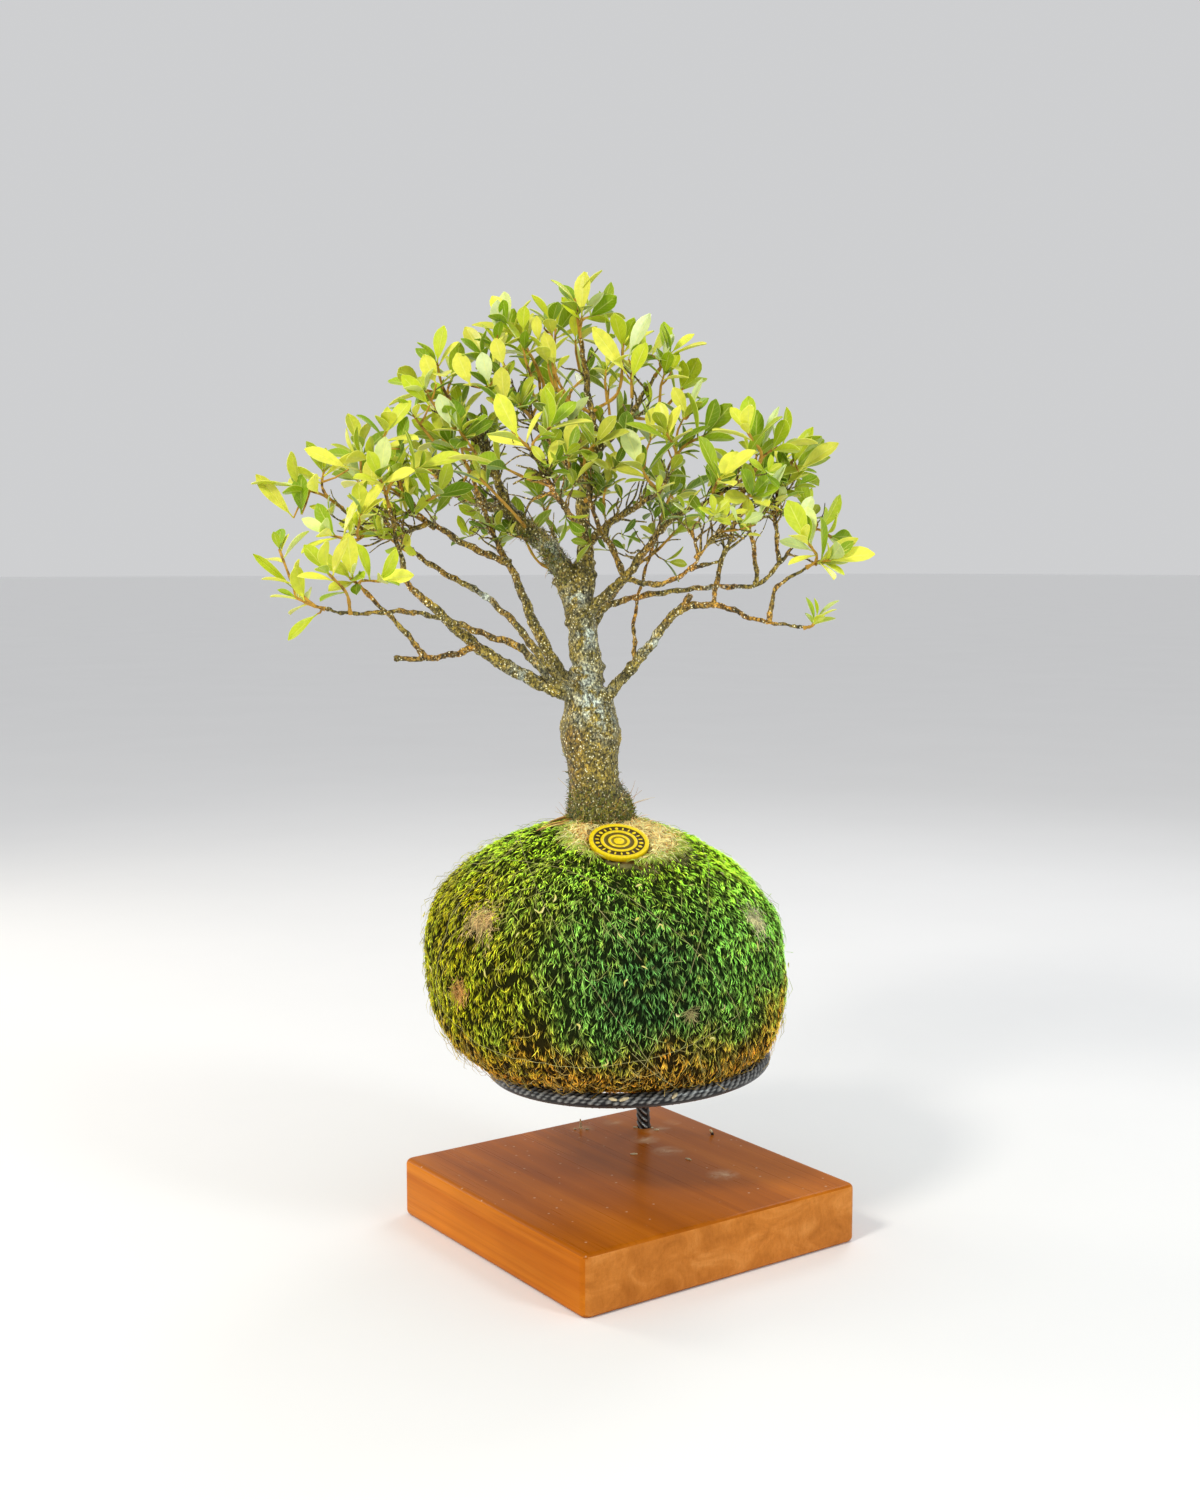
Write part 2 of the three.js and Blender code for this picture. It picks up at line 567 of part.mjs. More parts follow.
function spraySkeleton(name, spec, sprayIndex) {
  const tips = spec.tips.map(vector);
  const { start, heading } = shootRoot(branches[spec.on], spec.bend, tips[0]);
  const stem = shootRoute(start, heading, tips[0]);
  const fork = start.clone().lerp(stem[1], shoot.fork);
  const sideHeading = (tip) => tip.clone().sub(fork).normalize().lerp(heading, shoot.lean);
  const sideRoute = (tip) => shootRoute(fork, sideHeading(tip), tip);
  const routes = tips.map((tip, i) => (i === 0 ? stem : sideRoute(tip)));
  const leaves = routes.flatMap((points, tipIndex) => rosette(points, spec, sprayIndex, tipIndex));
  const shareAt = (nudge) => shoot.sideShare - nudge * join.step;
  const addStem = (all, points) => joinNeatly(all, (nudge) => shootSolid(points, shareAt(nudge)));
  const stems = routes.slice(1).reduce(addStem, shootSolid(stem));
  return { name, stems, leaves };
}

function boxesMeet(a, b) {
  const first = a.boundingBox();
  const second = b.boundingBox();
  return [0, 1, 2].every((i) => first.min[i] <= second.max[i] && second.min[i] <= first.max[i]);
}

function touches(solid, others) {
  return others.some((other) => boxesMeet(solid, other) && !solid.intersect(other).isEmpty());
}

// a spray with one more leaf, turned aside where it would cross its neighbours, or left off where it can't be
function withLeaf(spray, one, others) {
  for (const place of one.places) {
    const roomy = leafSolid(one.length, one.width, gap).transform(Array.from(place.elements));
    const bladeAt = (nudge) => {
      const rolled = place.clone().multiply(new THREE.Matrix4().makeRotationX(radians(nudge * join.roll)));
      return leafSolid(one.length, one.width, 0).transform(Array.from(rolled.elements));
    };
    if (!touches(roomy, others) && !touches(bladeAt(0), spray.blades)) {
      const solid = joinNeatly(spray.solid, bladeAt);
      if (solid) {
        return { solid, blades: [...spray.blades, bladeAt(0)] };
      }
    }
  }
  return spray;
}

function leafSprays(wood) {
  const skeletons = Object.entries(sprays).map(([name, spec], index) => spraySkeleton(name, spec, index));
  const done = [];
  for (const { name, stems, leaves } of skeletons) {
    const otherStems = skeletons.filter((other) => other.name !== name).map((other) => other.stems);
    const others = [wood, ...done, ...otherStems];
    const grow = (spray, one) => withLeaf(spray, one, others);
    done.push(leaves.reduce(grow, { solid: stems, blades: [] }).solid);
  }
  return skeletons.map(({ name }, index) => ({ name, solid: done[index] }));
}

const kokedama = new THREE.Group();
const wood = treeWood();
const ballOutside = solidOf(ballShape(32, 16, 0, true));

function addTurned(name, solid, finish) {
  kokedama.add(meshOf(name, solid.rotate([0, 0, plantTurn]), finish));
}

kokedama.add(meshOf('base_block', baseBlock(), finishes.block));
addTurned('stand_post', standPost(), finishes.bar);
addTurned('stand_ring', standRing(), finishes.bar);
addTurned('soil_ball', soilBall(ballOutside), finishes.soil);
addTurned('moss_cover', mossCover(ballOutside), finishes.moss);
addTurned('round_tag', tagDisc(), finishes.tag);
addTurned('tree_wood', wood, finishes.bark);
for (const { name, solid } of leafSprays(wood)) {
  addTurned(`leaf_spray_${name}`, solid, finishes.leaf);
}

export default kokedama;
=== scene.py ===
import math
import time

import bmesh
import bpy
import numpy as np
from mathutils import Matrix, Vector, kdtree


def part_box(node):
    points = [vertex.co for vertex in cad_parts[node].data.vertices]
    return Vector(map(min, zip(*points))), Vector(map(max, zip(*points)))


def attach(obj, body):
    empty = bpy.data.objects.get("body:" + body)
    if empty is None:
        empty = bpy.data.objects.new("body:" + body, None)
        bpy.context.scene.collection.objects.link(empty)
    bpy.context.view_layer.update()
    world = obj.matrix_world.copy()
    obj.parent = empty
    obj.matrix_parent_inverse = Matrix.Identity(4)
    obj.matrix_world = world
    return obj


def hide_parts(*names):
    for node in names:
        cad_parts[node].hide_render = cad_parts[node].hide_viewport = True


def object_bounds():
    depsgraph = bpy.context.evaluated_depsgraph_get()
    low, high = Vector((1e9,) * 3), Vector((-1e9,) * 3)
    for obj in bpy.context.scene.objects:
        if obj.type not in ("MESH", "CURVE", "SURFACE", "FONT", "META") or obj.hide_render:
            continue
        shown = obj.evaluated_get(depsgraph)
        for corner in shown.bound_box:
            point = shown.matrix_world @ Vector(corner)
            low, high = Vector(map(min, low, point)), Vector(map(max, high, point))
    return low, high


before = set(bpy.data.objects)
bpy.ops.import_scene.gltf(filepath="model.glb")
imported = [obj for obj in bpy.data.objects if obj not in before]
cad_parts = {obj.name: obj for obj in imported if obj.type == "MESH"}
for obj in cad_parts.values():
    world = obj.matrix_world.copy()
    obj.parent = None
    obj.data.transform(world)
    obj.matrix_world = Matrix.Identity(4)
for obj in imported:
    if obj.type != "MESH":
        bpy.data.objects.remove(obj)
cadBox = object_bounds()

# A kokedama: a small leafy tree in a ball of moss, on a ring of ribbed bar over a varnished block.
# The plant and its stand are modelled in millimetres in their own directions, then turned on the block.
mm = 0.001
seed = 2257
plantTurn = math.radians(-35.27)
turned = Matrix.Rotation(plantTurn, 4, "Z")
started = time.time()
draw = np.random.default_rng(seed)


def report(stage):
    print(f"{stage}: {time.time() - started:.1f} s")


def toFrame(points):  # plant millimetres to metres in the block's frame
    points = np.asarray(points, float)
    cosine, sine = math.cos(plantTurn), math.sin(plantTurn)
    x, y, z = points[..., 0], points[..., 1], points[..., 2]
    return np.stack([cosine * x - sine * y, sine * x + cosine * y, z], -1) * mm


def unit(vectors):
    length = np.linalg.norm(vectors, axis=-1, keepdims=True)
    return vectors / np.maximum(length, 1e-9)


def smooth(low, high, value):  # 0 below low, 1 above high, eased between
    share = np.clip((value - low) / (high - low), 0, 1)
    return share * share * (3 - 2 * share)


# selecting and finishing
def useOnly(piece):
    bpy.ops.object.select_all(action="DESELECT")
    piece.select_set(True)
    bpy.context.view_layer.objects.active = piece


def inScene(name, data):
    piece = bpy.data.objects.new(name, data)
    bpy.context.scene.collection.objects.link(piece)
    return piece


def joined(pieces):  # all of them, as the first one
    useOnly(pieces[0])
    for piece in pieces[1:]:
        piece.select_set(True)
    bpy.ops.object.join()
    return pieces[0]


def modify(piece, kind, **settings):
    modifier = piece.modifiers.new(kind.lower(), kind)
    for name, value in settings.items():
        setattr(modifier, name, value)


def pick(piece, kind, test):  # in edit mode, selects the vertices, edges or faces that pass a test
    bpy.ops.mesh.select_mode(type=kind)
    bpy.ops.mesh.select_all(action="DESELECT")
    shape = bmesh.from_edit_mesh(piece.data)
    for part in {"VERT": shape.verts, "EDGE": shape.edges, "FACE": shape.faces}[kind]:
        if test(part):
            part.select_set(True)
    bmesh.update_edit_mesh(piece.data)


def applyAll(piece):
    useOnly(piece)
    for modifier in list(piece.modifiers):
        bpy.ops.object.modifier_apply(modifier=modifier.name)


def standIn(piece):  # turned with the plant, with its place left in the mesh and the object at the origin
    piece.matrix_world = turned @ piece.matrix_world
    useOnly(piece)
    bpy.ops.object.transform_apply(location=True, rotation=True, scale=True)


def finishPiece(piece, name, materials, replaces=(), angle=None):
    piece.name = name
    piece.data.name = name
    piece.data.materials.clear()
    for material in materials:
        piece.data.materials.append(material)
    useOnly(piece)
    if angle is None:
        bpy.ops.object.shade_smooth()
    else:
        bpy.ops.object.shade_smooth_by_angle(angle=math.radians(angle))
    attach(piece, "root")
    if replaces:
        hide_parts(*replaces)


def pointsOf(piece, what="co"):
    points = np.empty(len(piece.data.vertices) * 3)
    piece.data.vertices.foreach_get(what, points)
    return points.reshape(-1, 3)


def setPoints(piece, points):
    piece.data.vertices.foreach_set("co", np.asarray(points, float).ravel())
    piece.data.update()


def meshPiece(name, points, faces):  # faces all have the same number of corners
    mesh = bpy.data.meshes.new(name)
    mesh.vertices.add(len(points))
    mesh.vertices.foreach_set("co", np.asarray(points, np.float32).ravel())
    mesh.loops.add(faces.size)
    mesh.loops.foreach_set("vertex_index", faces.astype(np.int32).ravel())
    mesh.polygons.add(len(faces))
    mesh.polygons.foreach_set("loop_start", np.arange(0, faces.size, faces.shape[1], dtype=np.int32))
    mesh.update(calc_edges=True)
    return inScene(name, mesh)


def copiesOf(shape, faces, starts, bases):  # one shape laid at many places; bases hold its axes as rows
    laid = np.einsum("vk,nkj->nvj", shape, bases) + starts[:, None, :]
    offsets = np.arange(len(starts)) * len(shape)
    return laid.reshape(-1, 3), (faces[None] + offsets[:, None, None]).reshape(-1, faces.shape[1])


def finderOf(points):  # finds the nearest of these points
    finder = kdtree.KDTree(len(points))
    for number, point in enumerate(points):
        finder.insert(point, number)
    finder.balance()
    return finder


def triangleFaces(piece):
    useOnly(piece)
    bpy.ops.object.mode_set(mode="EDIT")
    bpy.ops.mesh.select_all(action="SELECT")
    bpy.ops.mesh.quads_convert_to_tris()
    bpy.ops.object.mode_set(mode="OBJECT")
    return np.array([list(face.vertices) for face in piece.data.polygons])


def colourPoints(piece, colours, name="tint"):
    layer = piece.data.attributes.new(name, "FLOAT_COLOR", "POINT")
    whole = np.concatenate([colours, np.ones((len(colours), 1))], 1)
    layer.data.foreach_set("color", whole.astype(np.float32).ravel())


def linear(red, green, blue):  # a colour as seen, 0 to 255, in the units that shaders use
    shares = np.array([red, green, blue]) / 255
    return np.where(shares <= 0.04045, shares / 12.92, ((shares + 0.055) / 1.055) ** 2.4)


# shader building
def addNode(tree, kind, inputs=None, **settings):
    node = tree.nodes.new("ShaderNode" + kind)
    for name, value in settings.items():
        setattr(node, name, value)
    for socket, value in (inputs or {}).items():
        if isinstance(value, bpy.types.NodeSocket):
            tree.links.new(value, node.inputs[socket])
        else:
            node.inputs[socket].default_value = value
    return node


def newMaterial(name, **sockets):
    material = bpy.data.materials.new(name)
    material.use_nodes = True
    skin = material.node_tree.nodes["Principled BSDF"]
    for socket, value in sockets.items():
        skin.inputs[socket.replace("_", " ")].default_value = value
    return material, material.node_tree, skin


def objectCoords(tree):
    return addNode(tree, "TexCoord").outputs["Object"]


def stretched(tree, scale, turn=(0, 0, 0)):  # object coordinates, scaled to draw a pattern out along one way
    inputs = {"Vector": objectCoords(tree), "Scale": scale, "Rotation": turn}
    return addNode(tree, "Mapping", inputs).outputs["Vector"]


def grainAt(tree, scale, detail=4, roughness=0.6, distortion=0.0, turn=(0, 0, 0)):  # three scales draw it out
    drawnOut = isinstance(scale, tuple)
    coords = stretched(tree, scale, turn) if drawnOut else objectCoords(tree)
    inputs = {"Vector": coords, "Scale": 1 if drawnOut else scale, "Detail": detail, "Roughness": roughness}
    return addNode(tree, "TexNoise", {**inputs, "Distortion": distortion}).outputs["Fac"]


def rampOf(tree, source, stops):  # a stop's colour may be one number, for a grey
    ramp = addNode(tree, "ValToRGB", {"Fac": source})
    marks = ramp.color_ramp.elements
    while len(marks) < len(stops):
        marks.new(0.5)
    for mark, (place, colour) in zip(marks, stops):
        mark.position = place
        mark.color = (*np.broadcast_to(colour, 3), 1)
    return ramp.outputs["Color"]


def mixOf(tree, share, first, second, blend="MIX"):
    node = addNode(tree, "Mix", data_type="RGBA", blend_type=blend)
    for place, value in ((0, share), (6, first), (7, second)):
        if isinstance(value, bpy.types.NodeSocket):
            tree.links.new(value, node.inputs[place])
        else:
            node.inputs[place].default_value = value if place == 0 else (*value, 1)
    return node.outputs[2]


def mottled(tree, shade, pattern, stops, share=1.0):  # a colour multiplied by a ramp of a pattern
    return mixOf(tree, share, shade, rampOf(tree, pattern, stops), "MULTIPLY")


def mathOf(tree, operation, *values):
    node = addNode(tree, "Math", operation=operation)
    for place, value in enumerate(values):
        if isinstance(value, bpy.types.NodeSocket):
            tree.links.new(value, node.inputs[place])
        else:
            node.inputs[place].default_value = value
    return node.outputs[0]


def times(tree, first, second):
    return mathOf(tree, "MULTIPLY", first, second)


def plus(tree, first, second):
    return mathOf(tree, "ADD", first, second)


def tintOf(tree, output="Color"):  # the colour that a mesh carries at its points
    return addNode(tree, "Attribute", attribute_name="tint").outputs[output]


def paint(tree, skin, source, socket="Base Color"):
    tree.links.new(source, skin.inputs[socket])


def bumpFrom(tree, skin, height, strength, distance):
    bump = addNode(tree, "Bump", {"Height": height, "Strength": strength, "Distance": distance})
    tree.links.new(bump.outputs["Normal"], skin.inputs["Normal"])


# camera, light and floor
view = {
    "eye": (-15.5, -1073.8, 407.3),  # plant millimetres
    "pitch": 5.89,  # degrees below the horizon
    "lens": 43.06,
    "aim": (-15, 0, 280),
    "floor": (0.9, 0.9, 0.9), "floorSize": 120,
    "glow": (0.62, 0.625, 0.635),
}
lamps = {  # place in plant metres, size, power, colour
    "key": ((-0.95, -1.15, 1.45), 0.35, 17, (1.0, 0.94, 0.84)),
    "fill": ((1.2, -0.95, 1.0), 0.4, 8, (0.86, 0.95, 0.96)),
    "back": ((0.6, 1.2, 1.3), 0.6, 4.5, (0.97, 0.98, 1.0)),
    "rim": ((-1.3, 0.7, 0.7), 0.5, 5, (1.0, 0.93, 0.8)),
}


def setView():
    camera = inScene("camera", bpy.data.cameras.new("camera"))
    camera.data.lens = view["lens"]
    camera.location = toFrame(view["eye"])
    camera.rotation_euler = (math.radians(90 - view["pitch"]), 0, plantTurn)
    bpy.context.scene.camera = camera

    for name, (place, size, power, colour) in lamps.items():
        light = bpy.data.lights.new(name, "AREA")
        light.shape, light.size, light.energy, light.color = "DISK", size, power, colour
        lamp = inScene(name, light)
        lamp.location = toFrame(np.array(place) * 1000)
        aim = Vector(toFrame(view["aim"])) - lamp.location
        lamp.rotation_euler = aim.to_track_quat("-Z", "Y").to_euler()

    world = bpy.data.worlds.new("studio")
    world.use_nodes = True
    world.node_tree.nodes["Background"].inputs["Color"].default_value = (*view["glow"], 1)
    bpy.context.scene.world = world
    bpy.context.scene.view_settings.view_transform = "Standard"

    bpy.ops.mesh.primitive_plane_add(size=view["floorSize"])
    floor = bpy.context.object
    floor.name = "floor"
    material, tree, skin = newMaterial("paleFloor", Roughness=0.8)
    shade = rampOf(tree, grainAt(tree, 3), [(0.3, np.array(view["floor"]) * 0.98), (0.7, view["floor"])])
    paint(tree, skin, shade)
    floor.data.materials.append(material)


# varnished block
blockStyle = {
    "uprightRadius": 5.5, "rimRadius": 3.2, "boreRadius": 4.75, "boreDepth": 22.3, "drillOver": 12,
    # tones for the top, long-grain and end-grain faces, partly painted light: the long-grain sides a brighter
    # orange, the top darker
    "top": (linear(158, 84, 10), linear(174, 95, 14), linear(190, 108, 20)),
    "long": (linear(176, 92, 12), linear(196, 108, 18), linear(216, 130, 32)),
    "end": (linear(178, 106, 38), linear(199, 123, 50), linear(218, 144, 70)),
    "pore": (0.62, 0.55, 0.48),
    "dust": linear(222, 196, 164),
    "dustSpots": [(-27, 83, 6), (21, 82, 8), (14, 60, 7), (28, 36, 8), (60, -8, 8), (32, 96, 5), (-6, 96, 6)],
}
postStyle = {
    "x": 13.7, "y": 86.4, "lean": math.radians(3.5), "top": 104, "foot": 14, "blockHeight": 36, "slice": 0.5,
    "beads": 9, "beadRadius": 1.9, "beadHeight": 101.4, "beadRing": 3.9, "weldVoxel": 0.3,
}


def postAxis(z):  # a point of the leaning post's axis, plant millimetres
    return (postStyle["x"] - (z - postStyle["blockHeight"]) * math.tan(postStyle["lean"]), postStyle["y"], z)


def blockWood(name, face):  # varnished softwood: straight grain along Y, mottled where it shows its ends; its tones differ by face, partly as the wood's own and partly as painted light
    material, tree, skin = newMaterial(name, Coat_Weight=0.02, Coat_Roughness=0.12, Specular_IOR_Level=0.05)
    if face == "end":
        fibres = grainAt(tree, (520, 520, 210), 6, 0.62, 0.3, (0, 0.5, 0))
        bands = grainAt(tree, (34, 30, 58), 5, 0.6, 1.1, (0, 0.6, 0))
    else:
        fibres = grainAt(tree, (420, 7, 420), 6, 0.62, 0.3)
        bands = grainAt(tree, (46, 1.6, 60), 3, 0.5, 0.9, (0, 0.5, 0))
    pores = grainAt(tree, (1900, 36, 1900), 5, 0.7)
    dark, middle, pale = blockStyle[face]
    shade = rampOf(tree, bands, [(0.3, dark), (0.5, middle), (0.72, pale)])
    shade = mottled(tree, shade, fibres, [(0.34, blockStyle["pore"]), (0.56, 1), (0.7, (1.08, 1.06, 1.02))], 0.24)
    shade = mottled(tree, shade, pores, [(0.3, (0.66, 0.58, 0.5)), (0.5, 1)], 0.3)
    shade = mottled(tree, shade, grainAt(tree, 7, 3), [(0.35, (0.84, 0.8, 0.76)), (0.65, (1.08, 1.07, 1.05))], 0.8)
    smear = 0.0
    if face == "top":
        rub = rampOf(tree, grainAt(tree, (60, 90, 60), 6, 0.7, 0.6, (0, 0, 0.6)), [(0.45, 0), (0.62, 1)])
        specks = addNode(tree, "TexVoronoi", {"Vector": stretched(tree, (120, 120, 120)), "Scale": 1.0})
        speck = rampOf(tree, specks.outputs["Distance"], [(0.06, 1), (0.11, 0)])
        coords, dusty = objectCoords(tree), 0.0
        for x, y, size in blockStyle["dustSpots"]:
            spot = toFrame((x, y, postStyle["blockHeight"]))
            away = addNode(tree, "VectorMath", {0: coords, 1: spot}, operation="DISTANCE")
            near = addNode(tree, "MapRange", {
                "Value": away.outputs["Value"], "From Max": 1.5 * size * mm, "To Min": 1.0, "To Max": 0.0})
            dusty = mathOf(tree, "MAXIMUM", dusty, near.outputs["Result"])
        smear = times(tree, dusty, plus(tree, 0.2, times(tree, rub, 0.9)))
        dusting = mathOf(tree, "MINIMUM", 1.0, plus(tree, smear, times(tree, speck, 0.8)))
        shade = mixOf(tree, times(tree, dusting, 0.62), shade, blockStyle["dust"])
    paint(tree, skin, shade)
    rough = plus(tree, 0.2, times(tree, fibres, 0.2))
    paint(tree, skin, plus(tree, rough, times(tree, smear, 0.35)), "Roughness")
    bumpFrom(tree, skin, plus(tree, fibres, pores), 0.08, 0.0003)
    return material


def makeBlock():
    low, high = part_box("base_block")
    bpy.ops.mesh.primitive_cube_add(size=1, location=(low + high) / 2)
    block = bpy.context.object
    block.scale = high - low
    bpy.ops.object.transform_apply(location=True, rotation=True, scale=True)

    bpy.ops.object.mode_set(mode="EDIT")
    pick(block, "EDGE", lambda edge: abs(edge.verts[0].co.z - edge.verts[1].co.z) > 0.01)
    bpy.ops.mesh.bevel(offset=blockStyle["uprightRadius"] * mm, segments=6, affect="EDGES")
    pick(block, "EDGE", lambda edge: abs(edge.verts[0].co.z - edge.verts[1].co.z) < 1e-6
         and len({round(face.normal.z, 2) for face in edge.link_faces}) == 2)
    bpy.ops.mesh.bevel(offset=blockStyle["rimRadius"] * mm, segments=5, affect="EDGES")
    bpy.ops.object.mode_set(mode="OBJECT")

    deep, over = blockStyle["boreDepth"], blockStyle["drillOver"]
    middle = postAxis(postStyle["blockHeight"] - deep / 2 + over / 2)
    bpy.ops.mesh.primitive_cylinder_add(
        vertices=48, radius=blockStyle["boreRadius"] * mm, depth=(deep + over) * mm, location=Vector(middle) * mm,
        rotation=(0, -postStyle["lean"], 0))
    drill = bpy.context.object
    standIn(drill)
    modify(block, "BOOLEAN", operation="DIFFERENCE", object=drill)
    applyAll(block)
    bpy.data.objects.remove(drill)

    woods = [blockWood("blockTop", "top"), blockWood("blockLongGrain", "long"), blockWood("blockEndGrain", "end")]
    finishPiece(block, "wood_block", woods, ["base_block"], 40)
    # each face gets its copy of the wood by the way it faces, with tones that are partly painted light
    for face in block.data.polygons:
        face.material_index = 2 if abs(face.normal.y) > 0.75 else 1 if abs(face.normal.x) > 0.75 else 0
    report("block")


litterStyle = {
    "pale": linear(232, 214, 170), "dark": linear(24, 22, 20),
    "parts": [  # a sliver, then a pin and its head: points, radii and shade
        ([(-28.5, 83.5, 35.9), (-28.2, 83, 39), (-28.6, 82.8, 42.4)], [0.95, 0.8, 0.5], "pale"),
        ([(58.4, 69.8, 35.9), (57.8, 69.3, 37.4), (57, 68.9, 38.8)], [0.9, 1.0, 0.95], "dark"),
        ([(57, 68.9, 38.8), (56.7, 68.8, 39.6)], [0.97, 0.7], "pale"),
    ],
    "onBlock": [(-28, 83), (-24, 80), (-32, 81), (19, 83), (22, 79), (8, 84), (40, 20), (6, 30)],
    "onRing": (-97, -92.5, -73),  # degrees round
}


def makeLitter():  # a sliver and a pin that stand on the block, and crumbs that fell on it and on the ring
    routes = [(np.array(points), np.array(radii)) for points, radii, shade in litterStyle["parts"]]
    shades = [litterStyle[shade] for points, radii, shade in litterStyle["parts"]]
    crumbs = [(np.array([x, y, postStyle["blockHeight"]], float), 1.0) for x, y in litterStyle["onBlock"]]
    for turn in litterStyle["onRing"]:
        way = np.array([math.cos(math.radians(turn)), math.sin(math.radians(turn)), 0])
        flat = way * ringStyle["radius"]
        rise = ringStyle["riseX"] * flat[0] + ringStyle["riseY"] * flat[1]
        crumbs.append((flat + way * 4.1 + (ringStyle["x"], ringStyle["y"], ringStyle["z"] + rise + 2.0), 1.5))
    for crumb, size in crumbs:
        way = unit(draw.normal(size=3) * (1, 1, 0.15)) * draw.uniform(1.0, 2.6)
        path = np.array([crumb - way * size, crumb + (0, 0, 0.3), crumb + way * size])
        path[:, 2] = np.maximum(path[:, 2], postStyle["blockHeight"] + 0.25)
        routes.append((path, np.array([0.4, 0.8, 0.4]) * size))
        shades.append(litterStyle["pale"] * draw.uniform(0.7, 1.0))
    litter = drawnRoutes("litter", routes, 1)
    colourRuns(litter, routes, shades)
    material, tree, skin = newMaterial("litter", Roughness=0.7)
    paint(tree, skin, mottled(tree, tintOf(tree), grainAt(tree, 600, 4), [(0.3, 0.7), (0.6, 1.05)]))
    finishPiece(litter, "litter", [material])
    report("litter")


# ribbed bar: the ring and its post
barStyle = {
    "radius": 4.0, "ribHeight": 0.75, "ribPitch": 4.6, "ribSlant": 5.0, "seamHeight": 0.4, "sides": 28,
    # bright: the painted highlight on the rib tops
    "black": linear(8, 8, 9), "steel": linear(30, 31, 36), "bright": linear(164, 164, 160),
    "rust": linear(92, 72, 46), "ringTwist": np.pi / 2 * 0.55, "postTwist": 0.5,
}
ringStyle = {"x": 2, "y": 2, "z": 106, "radius": 82, "riseX": 0.038, "riseY": 0.018, "steps": 1050}


def barMetal():
    material, tree, skin = newMaterial("steelBar", Metallic=0.4, Roughness=0.3)
    patches = grainAt(tree, 150, 6, 0.68)
    steel = barStyle["steel"]
    shade = rampOf(tree, patches, [(0.34, barStyle["black"]), (0.52, steel * 0.6), (0.68, steel)])
    rusty = rampOf(tree, grainAt(tree, 60, 6, 0.7), [(0.58, 0), (0.74, 1)])
    shade = mixOf(tree, times(tree, rusty, 0.4), shade, barStyle["rust"])
    # the tint mixes in the bright colour on the rib tops, as painted highlight
    shade = mixOf(tree, times(tree, tintOf(tree, "Fac"), 0.85), shade, barStyle["bright"])
    paint(tree, skin, shade)
    paint(tree, skin, rampOf(tree, patches, [(0.3, 0.18), (0.7, 0.45)]), "Roughness")
    bumpFrom(tree, skin, grainAt(tree, 1100, 5, 0.7), 0.35, 0.0004)
    return material


def paintRibHighlights(piece, reach):  # the tops of the ribs are painted bright, as a painted highlight carried in the tint
    worn = smooth(0.35, 0.95, (reach - barStyle["radius"]) / barStyle["ribHeight"])
    colourPoints(piece, np.repeat(worn[:, None], 3, 1))


def barReach(along, angle):  # the bar's radius: slanted crescent ribs on two sides and a seam between them
    crescent = np.sin(angle) ** 2
    slanted = along + barStyle["ribSlant"] * np.cos(angle)
    wave = np.cos(2 * np.pi * slanted / barStyle["ribPitch"])
    ribs = barStyle["ribHeight"] * smooth(0.1, 0.75, wave) * smooth(0.06, 0.4, crescent)
    seam = barStyle["seamHeight"] * smooth(0.93, 0.985, np.abs(np.cos(angle)))
    return barStyle["radius"] + np.maximum(ribs, seam)


def makeRing(metal):
    bpy.ops.mesh.primitive_torus_add(
        major_radius=ringStyle["radius"], minor_radius=barStyle["radius"],
        major_segments=ringStyle["steps"], minor_segments=barStyle["sides"])
    ring = bpy.context.object
    points = pointsOf(ring)
    turn = np.arctan2(points[:, 1], points[:, 0])
    outward = np.hypot(points[:, 0], points[:, 1]) - ringStyle["radius"]
    angle = np.arctan2(points[:, 2], outward)
    reach = barReach(turn * ringStyle["radius"], angle + barStyle["ringTwist"])
    far = ringStyle["radius"] + reach * np.cos(angle)
    x = ringStyle["x"] + far * np.cos(turn)
    y = ringStyle["y"] + far * np.sin(turn)
    rise = ringStyle["riseX"] * (x - ringStyle["x"]) + ringStyle["riseY"] * (y - ringStyle["y"])
    setPoints(ring, toFrame(np.stack([x, y, ringStyle["z"] + rise + reach * np.sin(angle)], 1)))
    paintRibHighlights(ring, reach)
    finishPiece(ring, "bar_ring", [metal], ["stand_ring"])
    report("ring")


